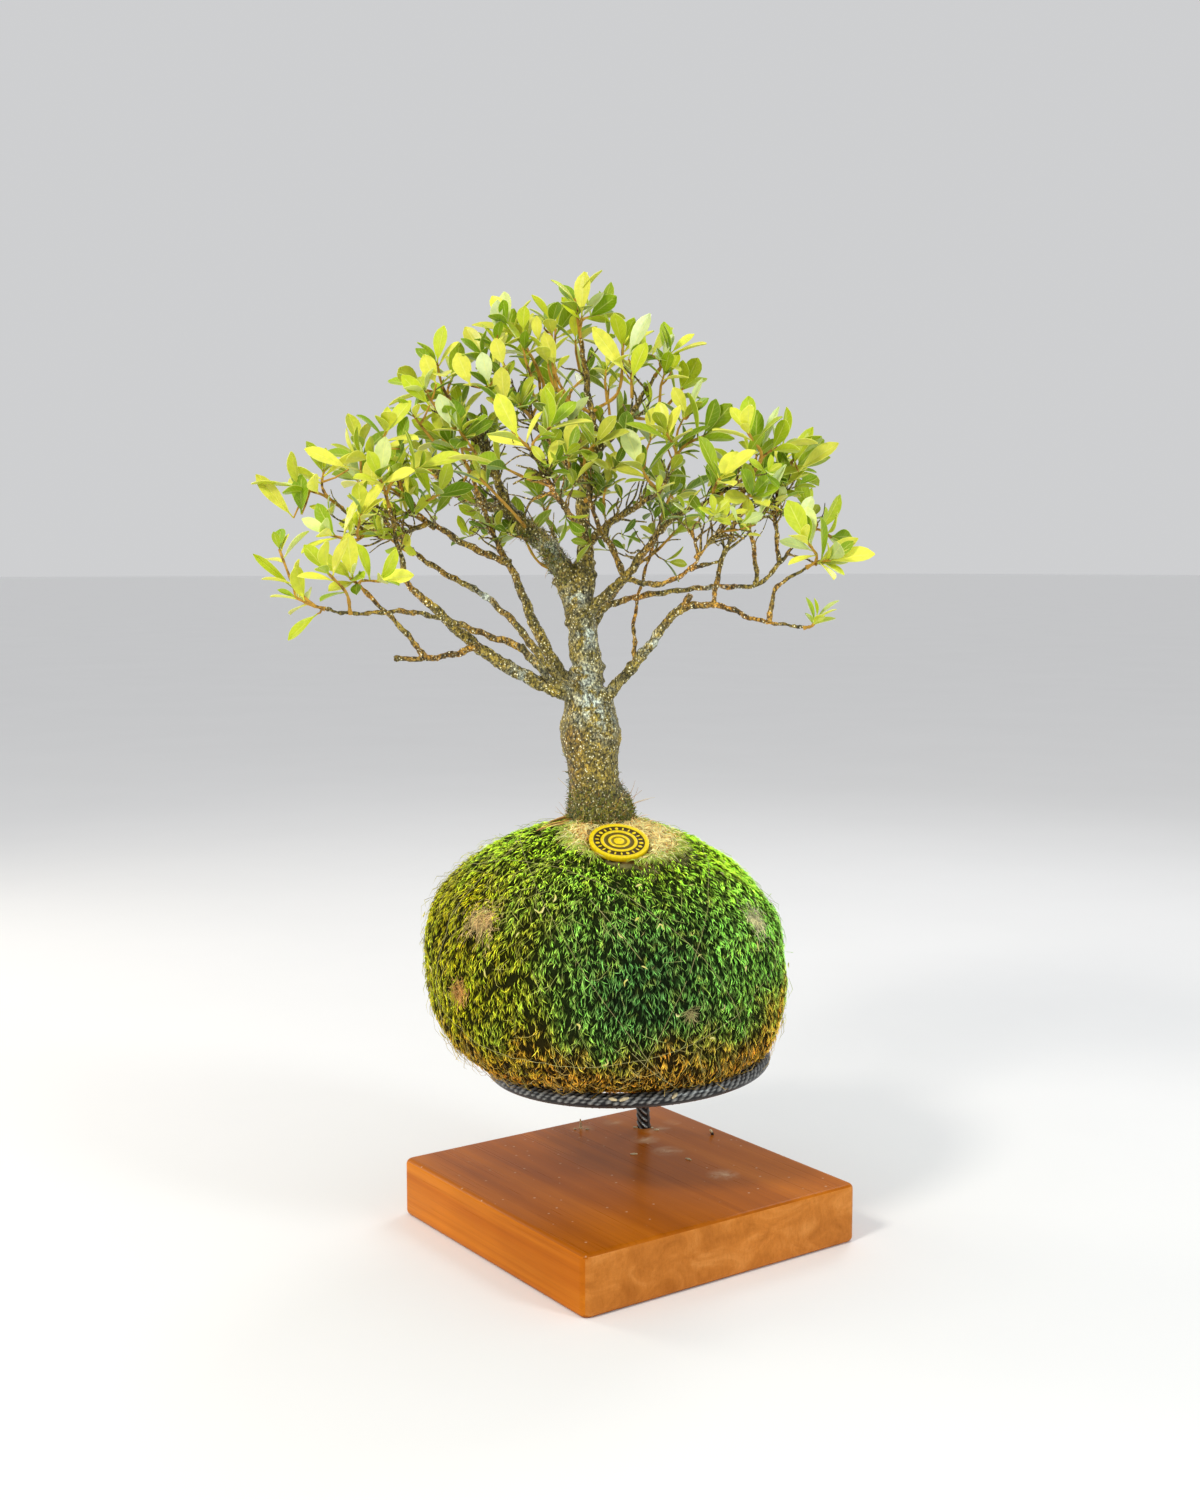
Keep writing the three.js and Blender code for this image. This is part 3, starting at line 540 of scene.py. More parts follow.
def makePost(metal):
    foot, top = Vector(postAxis(postStyle["foot"])), Vector(postAxis(postStyle["top"]))
    length, step = (top - foot).length, postStyle["slice"]
    bpy.ops.mesh.primitive_cylinder_add(vertices=barStyle["sides"], radius=barStyle["radius"], depth=length)
    post = bpy.context.object
    bpy.ops.object.mode_set(mode="EDIT")
    for level in range(int(length / step)):
        height = -length / 2 + step * (level + 0.5)
        bpy.ops.mesh.select_all(action="SELECT")
        bpy.ops.mesh.bisect(plane_co=(0, 0, height), plane_no=(0, 0, 1))
    bpy.ops.object.mode_set(mode="OBJECT")
    points = pointsOf(post)
    angle = np.arctan2(points[:, 1], points[:, 0])
    reach = barReach(points[:, 2], angle + barStyle["postTwist"])
    points[:, 0] += (reach - barStyle["radius"]) * np.cos(angle)
    points[:, 1] += (reach - barStyle["radius"]) * np.sin(angle)
    paintRibHighlights(post, reach)
    setPoints(post, points * mm)
    post.matrix_world = Matrix.Translation((foot + top) / 2 * mm) @ Matrix.Rotation(-postStyle["lean"], 4, "Y")
    standIn(post)
    finishPiece(post, "bar_post", [metal], ["stand_post"], 45)

    beads = []
    for bead in range(postStyle["beads"]):  # of weld, where the post meets the ring
        angle = bead * 2 * np.pi / postStyle["beads"]
        aside = Vector((math.cos(angle) * postStyle["beadRing"], math.sin(angle) * postStyle["beadRing"],
                        0.9 * math.sin(bead * 2.3)))
        place = Vector(postAxis(postStyle["beadHeight"])) + aside
        bpy.ops.mesh.primitive_ico_sphere_add(
            subdivisions=3, radius=postStyle["beadRadius"], location=place * mm, scale=(mm, mm, 0.7 * mm))
        beads.append(bpy.context.object)
    weld = joined(beads)
    standIn(weld)
    modify(weld, "REMESH", mode="VOXEL", voxel_size=postStyle["weldVoxel"] * mm)
    applyAll(weld)
    # the weld takes a little of the same painted highlight
    colourPoints(weld, np.full((len(weld.data.vertices), 3), 0.15))
    finishPiece(weld, "weld_bead", [metal])
    report("post")


# the ball of moss
ballStyle = {
    "x": -12.8, "y": 2, "z": 177, "width": 218, "height": 156, "domePower": 1.9, "footPower": 3.2, "lean": 0.05,
    "lump": 1.6, "wavesAround": 7, "wavesUp": 9, "twist": 5, "sway": 3, "ripple": 0.9, "sag": 3.4,
    "bareX": 3, "bareY": -28, "bareRadius": 32, "bareHeight": 68, "topHeight": 72, "mossDepth": 9,
    "ringRoom": 5.2,
}
ballCentre = np.array([ballStyle["x"], ballStyle["y"], ballStyle["z"]], float)
waves = [(draw.normal(size=3) * size, draw.uniform(0, 6.28)) for size in (14, 14, 22, 22, 30, 30, 44, 44)]


def ripple(directions, sharpness=1.0):  # a soft unevenness, about -1 to 1
    total = sum(np.sin(directions @ (wave * sharpness) + shift) for wave, shift in waves)
    return total / len(waves) * 1.6


def ballPower(rises):
    return np.where(rises > 0, ballStyle["domePower"], ballStyle["footPower"])


def ballReach(directions, inset=0.0):
    across = np.hypot(directions[:, 0], directions[:, 1]) / (ballStyle["width"] / 2 - inset)
    up = np.abs(directions[:, 2]) / (ballStyle["height"] / 2 - inset)
    power = ballPower(directions[:, 2])
    return (across ** power + up ** power) ** (-1 / power)


def ballWay(turn, rise):  # a way out from the middle: degrees round from the front, millimetres above the middle
    power = ballPower(rise)
    across = ballStyle["width"] / 2 * (1 - (abs(rise) / (ballStyle["height"] / 2)) ** power) ** (1 / power)
    turn = math.radians(turn)
    return unit(np.array([[across * math.sin(turn), -across * math.cos(turn), rise]]))


def fromMiddle(directions, reach):
    points = directions * reach[:, None]
    points[:, 0] -= ballStyle["lean"] * points[:, 2]
    return ballCentre + points


def mossLump(directions):
    turn = np.arctan2(directions[:, 1], directions[:, 0])
    around = np.sin(ballStyle["wavesAround"] * turn + ballStyle["twist"] * directions[:, 2])
    upward = np.cos(ballStyle["wavesUp"] * directions[:, 2] + ballStyle["sway"] * np.sin(2 * turn))
    return ballStyle["lump"] * around * upward * np.hypot(directions[:, 0], directions[:, 1])


def offRing(points):  # how far each point is from the middle of the bar that the ball rests on
    flat = points[:, :2] - (ringStyle["x"], ringStyle["y"])
    height = ringStyle["z"] + flat @ (ringStyle["riseX"], ringStyle["riseY"])
    return np.hypot(np.linalg.norm(flat, axis=1) - ringStyle["radius"], points[:, 2] - height)


def clearOfRing(points):
    short = np.clip(ballStyle["ringRoom"] - offRing(points), 0, None)
    return points + unit(ballCentre - points) * (short * 1.7)[:, None]


def ballSurface(directions, proud=0.0):  # points of the moss cover, plant millimetres
    reach = ballReach(directions) + mossLump(directions) + ballStyle["ripple"] * ripple(directions) + proud
    reach += ballStyle["sag"] * smooth(0.25, 0.6, -directions[:, 2]) * smooth(0.0, 0.6, directions[:, 0])
    return clearOfRing(fromMiddle(directions, reach))


def ballNormals(directions, step=0.02):
    side = unit(np.cross(directions, np.where(np.abs(directions[:, 2:]) < 0.9, [[0, 0, 1.0]], [[1.0, 0, 0]])))
    other = np.cross(directions, side)
    base = ballSurface(directions)
    first = ballSurface(unit(directions + step * side)) - base
    second = ballSurface(unit(directions + step * other)) - base
    return unit(np.cross(first, second))


def offTag(points):  # how far points near the tag are from the line through its middle
    tilt, roll = tagStyle["tilt"], tagStyle["roll"]
    out = np.array([math.cos(tilt) * math.sin(roll), -math.sin(tilt), math.cos(tilt) * math.cos(roll)])
    away = points - (tagStyle["x"], tagStyle["y"], tagStyle["z"])
    heights = away @ out
    return np.where(heights > -12, np.linalg.norm(away - heights[:, None] * out, axis=1), 99)


def clearOfTag(roots, along, lengths):
    spots = [offTag(roots + along * lengths[:, None] * share) for share in (0, 0.5, 1)]
    return np.min(spots, axis=0) > tagStyle["radius"] + 0.1


def bareShare(points):  # how deep in the bare soil round the trunk: 0 at its edge, 1 at its middle, below 0 outside
    flat = points[:, :2] - (ballStyle["bareX"], ballStyle["bareY"])
    turn = np.arctan2(flat[:, 1], flat[:, 0])
    ragged = 2.4 * np.sin(5 * turn) + 1.8 * np.sin(11 * turn) + 1.2 * np.sin(23 * turn)
    share = 1 - (np.linalg.norm(flat, axis=1) + ragged) / ballStyle["bareRadius"]
    return np.where(points[:, 2] > ballStyle["z"], share, -9.0)


def overBare(turns, far):  # ways out to places round the middle of the bare soil
    spots = np.stack([ballStyle["bareX"] + far * np.cos(turns), ballStyle["bareY"] + far * np.sin(turns),
                      np.full(len(turns), ballStyle["z"] + ballStyle["bareHeight"])], 1)
    return unit(spots - ballCentre)


mossShades = {
    "yellow": linear(184, 182, 28), "bright": linear(182, 222, 54), "blue": linear(92, 142, 74),
    "green": linear(146, 200, 84), "olive": linear(160, 156, 52), "brown": linear(208, 152, 48),
    # bed: near black, painted shade in the gaps between the strands
    "straw": linear(244, 230, 150), "bed": linear(12, 15, 5),
}
wornSpots = [  # thin places in the moss: degrees round, millimetres above the middle, size and shade
    (-44, 29, 9.2, linear(255, 212, 150)), (61, 26, 7.8, linear(246, 244, 206)),
    (-50, -11, 4.4, linear(226, 150, 64)), (25, -16, 2.0, linear(150, 144, 104)),
    (130, 22, 8.0, linear(190, 160, 116)), (-128, -6, 7.0, linear(190, 176, 140)),
]


def wornShare(points):  # 1 in the middle of a thin place, 0 beyond its rim, with the shade there
    share, shade = np.zeros(len(points)), np.zeros((len(points), 3))
    for turn, rise, size, colour in wornSpots:
        off = points - ballSurface(ballWay(turn, rise))
        off[:, 2] *= 1.4
        here = 1 - smooth(0.65, 1.1, np.linalg.norm(off, axis=1) / size + 0.16 * ripple(unit(off), 0.15))
        shade[here > share] = colour
        share = np.maximum(share, here)
    return share, shade


def mossTint(directions):  # the moss's colour by its place on the ball: yellower on the left and brighter on top, partly painted light; bluer and darker round the middle, partly painted shade; browner low down; olive in speckles
    x, z = directions[:, 0], directions[:, 2]
    patch = ripple(directions, 0.35)
    speckle = ripple(directions[:, [1, 2, 0]], 1.4)
    middle = np.exp(-((x - 0.2) / 0.36) ** 2 - ((z + 0.02) / 0.36) ** 2)
    tint = np.tile(mossShades["green"], (len(directions), 1))
    for share, shade in (
        (smooth(-0.05, 0.7, -x + 0.2 * patch), "yellow"),
        (smooth(0.3, 0.75, z + 0.12 * patch + 0.12 * x) * 0.9, "bright"),
        (np.clip(middle * 1.05 + 0.2 * patch, 0, 0.92), "blue"),
        (smooth(0.2, 1.0, speckle) * 0.45, "olive"),
        (smooth(0.16, 0.56, -z + 0.14 * patch + 0.06 * speckle + 0.1 * x) * 0.92, "brown"),
    ):
        tint += share[:, None] * (mossShades[shade] - tint)
    # lighter on the right and darker on the left: painted light and painted shade
    return tint * (1 + 0.26 * smooth(0.35, 0.9, x) - 0.1 * smooth(0.3, 0.9, -x))[:, None]


def mossMaterial(name, soil):
    material, tree, skin = newMaterial(name, Roughness=0.85 if soil else 0.6, Specular_IOR_Level=0.08)
    if soil:
        pattern, stops = grainAt(tree, 260, 6, 0.7), [(0.3, 0.25), (0.7, 0.95)]
        bumpFrom(tree, skin, grainAt(tree, 500, 6, 0.7), 0.9, 0.0012)
    else:
        pattern, stops = grainAt(tree, 120, 4, 0.7), [(0.3, 0.66), (0.7, 1.34)]
    paint(tree, skin, mottled(tree, tintOf(tree), pattern, stops))
    return material


def makeMossBed():
    bpy.ops.mesh.primitive_uv_sphere_add(segments=170, ring_count=100, radius=1)
    bed = bpy.context.object
    setPoints(bed, ballSurface(unit(pointsOf(bed)), -1.2))
    bpy.ops.object.mode_set(mode="EDIT")
    pick(bed, "FACE", lambda face: bareShare(np.array([face.calc_center_median()]))[0] > 0.02)
    bpy.ops.mesh.delete(type="FACE")
    bpy.ops.object.mode_set(mode="OBJECT")
    points = pointsOf(bed)
    # the bed is near black with a trace of the moss's colour: painted shade where the strands leave gaps
    tints = mossTint(unit(points - ballCentre)) * 0.06 + mossShades["bed"]
    worn, shade = wornShare(points)
    tints += worn[:, None] * (shade - tints)
    tints += smooth(-0.16, 0.0, bareShare(points))[:, None] * (mossShades["straw"] * 0.35 - tints)
    colourPoints(bed, tints)
    setPoints(bed, toFrame(points))
    modify(bed, "SOLIDIFY", thickness=(ballStyle["mossDepth"] - 1.4) * mm, offset=-1)
    applyAll(bed)
    finishPiece(bed, "moss_bed", [mossMaterial("mossBed", True)], ["moss_cover"])
    report("moss bed")


strandStyle = {
    "tufts": 84000, "perTuft": 2, "parts": 8, "length": (2.4, 5.6), "width": (0.5, 0.86), "lift": (0.1, 0.5),
    "swing": 0.28, "fan": 0.22, "tuftSize": 0.45, "gapWaves": (120, 150, 180, 220, 260), "gapShare": -0.35,
    # levels: each tuft's brightness; the dark tufts root lowest as painted shade, the bright ones highest as
    # painted highlight
    "levels": (0.12, 0.7, 2.4), "levelShares": (0.44, 0.28, 0.28),
    "straws": 1500, "strawLength": (8, 20), "strawWidth": (0.26, 0.5), "rimBlades": 2600,
    "offTag": 16.6, "offRing": 5.8, "strawsOffRing": 9,
}


def strandShape():  # a slim three-sided spindle along +X; its last two columns are how far it arches and curls
    bpy.ops.mesh.primitive_cone_add(vertices=3, radius1=0.5, radius2=0, depth=1, end_fill_type="NGON",
                                    location=(0.5, 0, 0), rotation=(0, math.pi / 2, 0))
    strand = bpy.context.object
    bpy.ops.object.transform_apply(location=True, rotation=True, scale=True)
    bpy.ops.object.mode_set(mode="EDIT")
    bpy.ops.mesh.select_all(action="SELECT")
    bpy.ops.mesh.bisect(plane_co=(0.55, 0, 0), plane_no=(1, 0, 0))
    pick(strand, "VERT", lambda vertex: 0.4 < vertex.co.x < 0.7)
    bpy.ops.transform.resize(value=(1, 1.7, 1.7), center_override=(0.55, 0, 0))
    pick(strand, "VERT", lambda vertex: vertex.co.x < 0.4)
    bpy.ops.transform.resize(value=(1, 0.6, 0.6), center_override=(0, 0, 0))
    bpy.ops.object.mode_set(mode="OBJECT")
    faces = triangleFaces(strand)
    points = pointsOf(strand)
    bpy.data.objects.remove(strand)
    arch = 1.3 * points[:, 0] * (1 - points[:, 0]) - 0.25 * points[:, 0] ** 3
    return np.stack([points[:, 0], points[:, 1], points[:, 2], arch, points[:, 0] ** 2], 1), faces


def layStrands(name, slot, material, shade, strands, kept=slice(None), flatness=0.8):
    roots, along, normals, lengths, widths, tints = (values[kept] for values in strands)
    shape, faces = strandShape()
    across = unit(np.cross(normals, along))
    up = np.cross(along, across)
    arch = lengths * draw.uniform(0.15, 0.5, len(roots))
    curl = lengths * draw.normal(0, 0.2, len(roots))
    bases = np.stack([along * lengths[:, None], across * widths[:, None], up * widths[:, None] * flatness,
                      up * arch[:, None], across * curl[:, None]], 1)
    points, allFaces = copiesOf(shape, faces, roots, bases)
    piece = meshPiece(name, toFrame(points), allFaces)
    # each strand is scaled by shade along its length, darker at the root and brighter at the tip: painted shade
    # down among the strands and painted highlight at the tips
    colourPoints(piece, (tints[:, None, :] * shade(shape[:, 0])[None, :, None]).reshape(-1, 3))
    finishPiece(piece, name, [material])


def slopeWays(directions, normals, swing):  # down the slope of the ball, turned aside by an angle
    down = np.tile([0, 0, -1.0], (len(normals), 1)) + 0.25 * directions
    down = unit(down - normals * np.sum(down * normals, 1, keepdims=True) + 1e-6)
    return np.cos(swing)[:, None] * down + np.sin(swing)[:, None] * np.cross(normals, down)


def gapField(directions):  # fine dark gaps between the tufts, about -1 to 1
    total, sizes = 0, np.repeat(strandStyle["gapWaves"], 3)
    for size in sizes:
        way = unit(draw.normal(size=3)) * size
        total = total + np.sin(directions @ way + draw.uniform(0, 6.28))
    return total / math.sqrt(len(sizes)) * 1.2


def makeStrands():
    material = mossMaterial("mossStrand", False)
    tufts, each = strandStyle["tufts"], strandStyle["perTuft"]
    middles = unit(draw.normal(size=(tufts, 3)) * (1.25, 1.25, 1.0))
    swing = 0.4 * ripple(middles, 2.5) + draw.normal(0, strandStyle["swing"], tufts)
    # each tuft's brightness: painted shade for the low dark tufts, painted highlight for the high bright ones; the
    # ripple adds tone by place
    level = draw.choice(strandStyle["levels"], tufts, p=strandStyle["levelShares"])
    level = level * draw.uniform(0.75, 1.25, tufts)
    level *= 1 + 0.22 * ripple(middles, 2.2)
    hue = draw.uniform(0.86, 1.14, (tufts, 3))
    of = np.repeat(np.arange(tufts), each)
    directions = unit(middles[of] + draw.normal(0, strandStyle["tuftSize"] / 100, (len(of), 3)))
    roots = ballSurface(directions, -1.9 + 0.5 * np.clip(level[of], 0, 2.4))
    edge = bareShare(roots) + draw.normal(0, 0.11, len(roots))
    kept = (edge < 0.0) & (offTag(roots) > strandStyle["offTag"]) & (offRing(roots) > strandStyle["offRing"])
    kept &= gapField(directions) > strandStyle["gapShare"]
    kept &= draw.random(len(roots)) > wornShare(roots)[0] * 0.97
    directions, roots, of, edge = directions[kept], roots[kept], of[kept], edge[kept]
    count = len(roots)
    normals = ballNormals(directions)
    ways = slopeWays(directions, normals, swing[of] + draw.normal(0, strandStyle["fan"], count))
    along = unit(ways + normals * draw.uniform(*strandStyle["lift"], count)[:, None])
    tints = mossTint(directions) * level[of][:, None] * hue[of] * draw.uniform(0.5, 1.5, (count, 1))
    low = smooth(0.25, 0.6, -directions[:, 2])
    dry = draw.random(count) < 0.015 + 0.1 * low + 0.3 * smooth(-0.2, 0.0, edge)
    tints[dry] = mossShades["straw"] * draw.uniform(0.35, 1.0, (dry.sum(), 1))
    lengths = draw.uniform(*strandStyle["length"], count)
    lengths[draw.random(count) < 0.05] *= 1.5
    widths = draw.uniform(*strandStyle["width"], count)
    widths[dry] *= 0.6
    for part in range(strandStyle["parts"]):
        here = np.arange(count) % strandStyle["parts"] == part
        # moss strands go near black at the root and up to 1.5 times brighter at the tip: painted shade and painted
        # highlight
        layStrands(f"moss_strands_{part + 1}", "moss", material, lambda x: 0.06 + 1.5 * x ** 1.4,
                   (roots, along, normals, lengths, widths, tints), here)
    print("strands", count)

    count = strandStyle["straws"]  # longer pale blades that lie over the rest, most on the upper left and low down
    directions = unit(draw.normal(size=(count * 6, 3)) * (1.25, 1.25, 1.0))
    x, z = directions[:, 0], directions[:, 2]
    wanted = 0.15 + np.exp(-((x + 0.45) / 0.4) ** 2 - ((z - 0.42) / 0.3) ** 2) + smooth(0.2, 0.5, -z) * 0.8
    roots = ballSurface(directions, 0.6)
    kept = (draw.random(len(x)) < wanted * 0.5) & (bareShare(roots) < -0.08)
    kept &= offRing(roots) > strandStyle["strawsOffRing"]
    directions, sources = directions[kept][:count], [mossTint(directions[kept][:count])]
    for turn, rise, size, shade in wornSpots:  # dry ends lie over the thin places
        near = np.repeat(ballWay(turn, rise), int(26 * size), axis=0)
        directions = np.concatenate([directions, unit(near + draw.normal(0, size * 0.0062, near.shape))])
        sources.append(np.tile(shade, (len(near), 1)))
    turns = draw.uniform(0, 2 * np.pi, strandStyle["rimBlades"])  # and short ones over the rim of the bare soil
    far = ballStyle["bareRadius"] * draw.uniform(0.84, 1.12, len(turns))
    rim = overBare(turns, far)
    directions = np.concatenate([directions, rim])
    sources.append(np.tile(mossShades["bright"], (len(rim), 1)))
    roots = ballSurface(directions, np.where(np.arange(len(directions)) < len(sources[0]), 1.5, 0.5))
    count, normals = len(roots), ballNormals(directions)
    ways = slopeWays(directions, normals, draw.normal(0, 0.9, count))
    along = unit(ways + normals * draw.uniform(0.0, 0.12, count)[:, None])
    tints = np.concatenate(sources) * draw.uniform(0.4, 1.0, (count, 1))
    tints += mossShades["straw"] * draw.uniform(0.1, 0.6, (count, 1))
    lengths = draw.uniform(*strandStyle["strawLength"], count)
    lengths[len(sources[0]):] *= 0.45
    widths = draw.uniform(*strandStyle["strawWidth"], count)
    # straws: a little darker at the root, painted shade
    layStrands("moss_straws", "moss", material, lambda x: 0.7 + 0.5 * x,
               (roots, along, normals, lengths, widths, tints), clearOfTag(roots, along, lengths))
    report("moss strands")


# threads, fibres and twigs: routes drawn as curves, then made a mesh
def throughPoints(route, steps):  # a smooth curve through given points, and how far along it each new point is
    points = np.asarray(route, float)
    ends = np.concatenate([[2 * points[0] - points[1]], points, [2 * points[-1] - points[-2]]])
    found, shares = [], []
    for leg in range(len(points) - 1):
        before, start, end, after = ends[leg:leg + 4]
        first, second, third = (max(np.linalg.norm(b - a), 1e-6) ** 0.5 for a, b in
                                ((before, start), (start, end), (end, after)))
        leave = ((start - before) / first - (end - before) / (first + second) + (end - start) / second) * second
        arrive = ((end - start) / second - (after - start) / (second + third) + (after - end) / third) * second
        for step in range(steps if leg < len(points) - 2 else steps + 1):
            t = step / steps
            found.append(start * (2 * t ** 3 - 3 * t ** 2 + 1) + leave * (t ** 3 - 2 * t ** 2 + t)
                         + end * (3 * t ** 2 - 2 * t ** 3) + arrive * (t ** 3 - t ** 2))
            shares.append((leg + t) / (len(points) - 1))
    return np.array(found), np.array(shares)


def drawnRoutes(name, routes, roundness):  # each route is its points and its radii, in millimetres
    curve = bpy.data.curves.new(name, "CURVE")
    curve.dimensions = "3D"
    curve.bevel_depth = mm
    curve.bevel_resolution = roundness
    curve.use_fill_caps = True
    for points, radii in routes:
        spline = curve.splines.new("POLY")
        spline.points.add(len(points) - 1)
        flat = np.concatenate([toFrame(points), np.ones((len(points), 1))], 1)
        spline.points.foreach_set("co", flat.astype(np.float32).ravel())
        spline.points.foreach_set("radius", np.asarray(radii, np.float32))
    useOnly(inScene(name, curve))
    bpy.ops.object.convert(target="MESH")
    return bpy.context.object


def colourRuns(piece, routes, shades):  # gives each drawn route its own shade, from the nearest point of a route
    paths = [route[0] for route in routes]
    owners = np.repeat(np.arange(len(paths)), [len(path) for path in paths])
    finder = finderOf(toFrame(np.concatenate(paths)))
    nearest = owners[[finder.find(point)[1] for point in pointsOf(piece)]]
    colourPoints(piece, np.array(shades)[nearest])


# bare soil round the trunk, with dry fibre laid over it
soilStyle = {
    "hollow": 9.6, "shade": linear(146, 114, 56), "mats": 7600, "matLength": (4, 11), "matWidth": (0.4, 0.8),
    "fibres": 260, "fibreLength": (9, 24), "fibreRadius": (0.13, 0.26), "roots": 26,
    "shades": (linear(255, 250, 184), linear(255, 226, 148), linear(232, 180, 102), linear(128, 96, 46)),
    "shares": (0.52, 0.28, 0.12, 0.08),
}


def soilRoute(x, y, heading, length, turn, lift, legs=5):  # a line laid over the ball's top
    path = []
    for step in range(legs):
        way = heading + turn * step
        reach = length * (step / (legs - 1) - 0.5)
        spot = (x + reach * math.cos(way), y + reach * math.sin(way), ballStyle["z"] + ballStyle["topHeight"])
        path.append(ballSurface(unit(np.array([spot]) - ballCentre), lift[step])[0])
    return np.array(path)


def makeSoil():
    bpy.ops.mesh.primitive_uv_sphere_add(segments=140, ring_count=100, radius=1)
    soil = bpy.context.object
    directions = unit(pointsOf(soil))
    outer = ballSurface(directions, -1.6)
    inner = fromMiddle(directions, ballReach(directions, soilStyle["hollow"]))
    share = smooth(0.0, 0.08, bareShare(outer))[:, None]
    points = inner + (outer - inner) * share
    setPoints(soil, toFrame(points))
    colourPoints(soil, np.tile(soilStyle["shade"], (len(points), 1)))
    finishPiece(soil, "soil_core", [mossMaterial("drySoil", True)], ["soil_ball"])

    count = soilStyle["mats"]
    turns, far = draw.uniform(0, 2 * np.pi, count), ballStyle["bareRadius"] * 1.06 * np.sqrt(draw.random(count))
    directions = overBare(turns, far)
    roots, normals = ballSurface(directions, draw.uniform(-1.3, 0.3, count)), ballNormals(directions)
    ways = slopeWays(directions, normals, draw.uniform(0, 2 * np.pi, count))
    along = unit(ways + normals * draw.uniform(-0.05, 0.3, count)[:, None])
    kind = draw.choice(4, count, p=soilStyle["shares"])
    tints = np.array(soilStyle["shades"])[kind] * draw.uniform(0.65, 1.75, (count, 1))
    fibre, tree, skin = newMaterial("dryFibre", Roughness=0.7, Specular_IOR_Level=0.1)
    paint(tree, skin, mottled(tree, tintOf(tree), grainAt(tree, 420, 4, 0.7), [(0.3, 0.85), (0.65, 1.15)]))
    lengths, widths = draw.uniform(*soilStyle["matLength"], count), draw.uniform(*soilStyle["matWidth"], count)
    # dry fibres: a little darker at the root and brighter at the tip, painted shade and painted highlight
    layStrands("dry_fibres", "soil", fibre, lambda x: 0.75 + 0.4 * x,
               (roots, along, normals, lengths, widths, tints), clearOfTag(roots, along, lengths), 0.5)

    routes, shades = [], []
    for _ in range(soilStyle["fibres"]):
        angle, far = draw.uniform(0, 2 * np.pi), ballStyle["bareRadius"] * 1.08 * math.sqrt(draw.random())
        lift = draw.uniform(-0.4, 1.6) + np.array([0, 0.5, 0.9, 0.6, 0.1]) * draw.random()
        path = soilRoute(ballStyle["bareX"] + far * math.cos(angle), ballStyle["bareY"] + far * math.sin(angle),
                         draw.uniform(0, 6.28), draw.uniform(*soilStyle["fibreLength"]), draw.normal(0, 0.1), lift)
        radius = draw.uniform(*soilStyle["fibreRadius"])
        if offTag(path).min() < tagStyle["radius"]:
            continue
        routes.append((throughPoints(path, 2)[0], radius * np.array([0.5, 0.8, 1, 1, 1, 1, 0.9, 0.6, 0.3])))
        shades.append(soilStyle["shades"][draw.choice(3)] * draw.uniform(0.8, 1.15))
    for number in range(soilStyle["roots"]):  # thicker roots that run out from the foot of the trunk
        angle = number * 2.4 + draw.normal(0, 0.2)
        x, y = trunkRoute[3][0] + 24 * math.cos(angle), trunkRoute[3][1] + 24 * math.sin(angle)
        lift = np.array([2.4, 1.6, 1.0, 0.4, -0.6]) * draw.uniform(0.5, 1.1)
        path = soilRoute(x, y, angle, draw.uniform(14, 30), draw.normal(0, 0.16), lift)
        radius = draw.uniform(0.45, 1.0)
        routes.append((throughPoints(path, 2)[0], radius * np.linspace(1, 0.35, 9)))
        shades.append(soilStyle["shades"][1 + number % 3] * 0.8)
    fibres = drawnRoutes("fibres", routes, 1)
    colourRuns(fibres, routes, shades)
    finishPiece(fibres, "long_fibres", [fibre])
    report("soil")


# threads that bind the moss, and loose bits caught in it
threadStyle = {
    "loops": 6, "radius": 0.12, "proud": (0.8, 2.2), "shade": linear(198, 190, 120),
    "netGap": 2.6, "netRadius": 0.1, "lineProud": 2.4, "lineRadius": 0.14,
    "bits": [(16, 50), (12, 35), (20, 31), (6, 25), (6, 5), (54, 10), (47, 4), (-37, 0), (-16, 45), (-19, 37),
             (-1, -45), (11, 11), (21, -18), (-94, 57), (78, -8), (82, -44), (-84, 20), (-66, -2), (-78, -52),
             (-8, -20), (34, -34)],
    "strayBits": 36,
    "lines": [((-4, 44), (11, 14)), ((7, -38), (21, -58))],
}


def ballLine(first, last, proud, steps=8):  # a line over the moss between two places on the ball
    ends = np.array([ballWay(*first)[0], ballWay(*last)[0]])
    shares = np.linspace(0, 1, steps)[:, None]
    return ballSurface(unit(ends[0] * (1 - shares) + ends[1] * shares), proud)


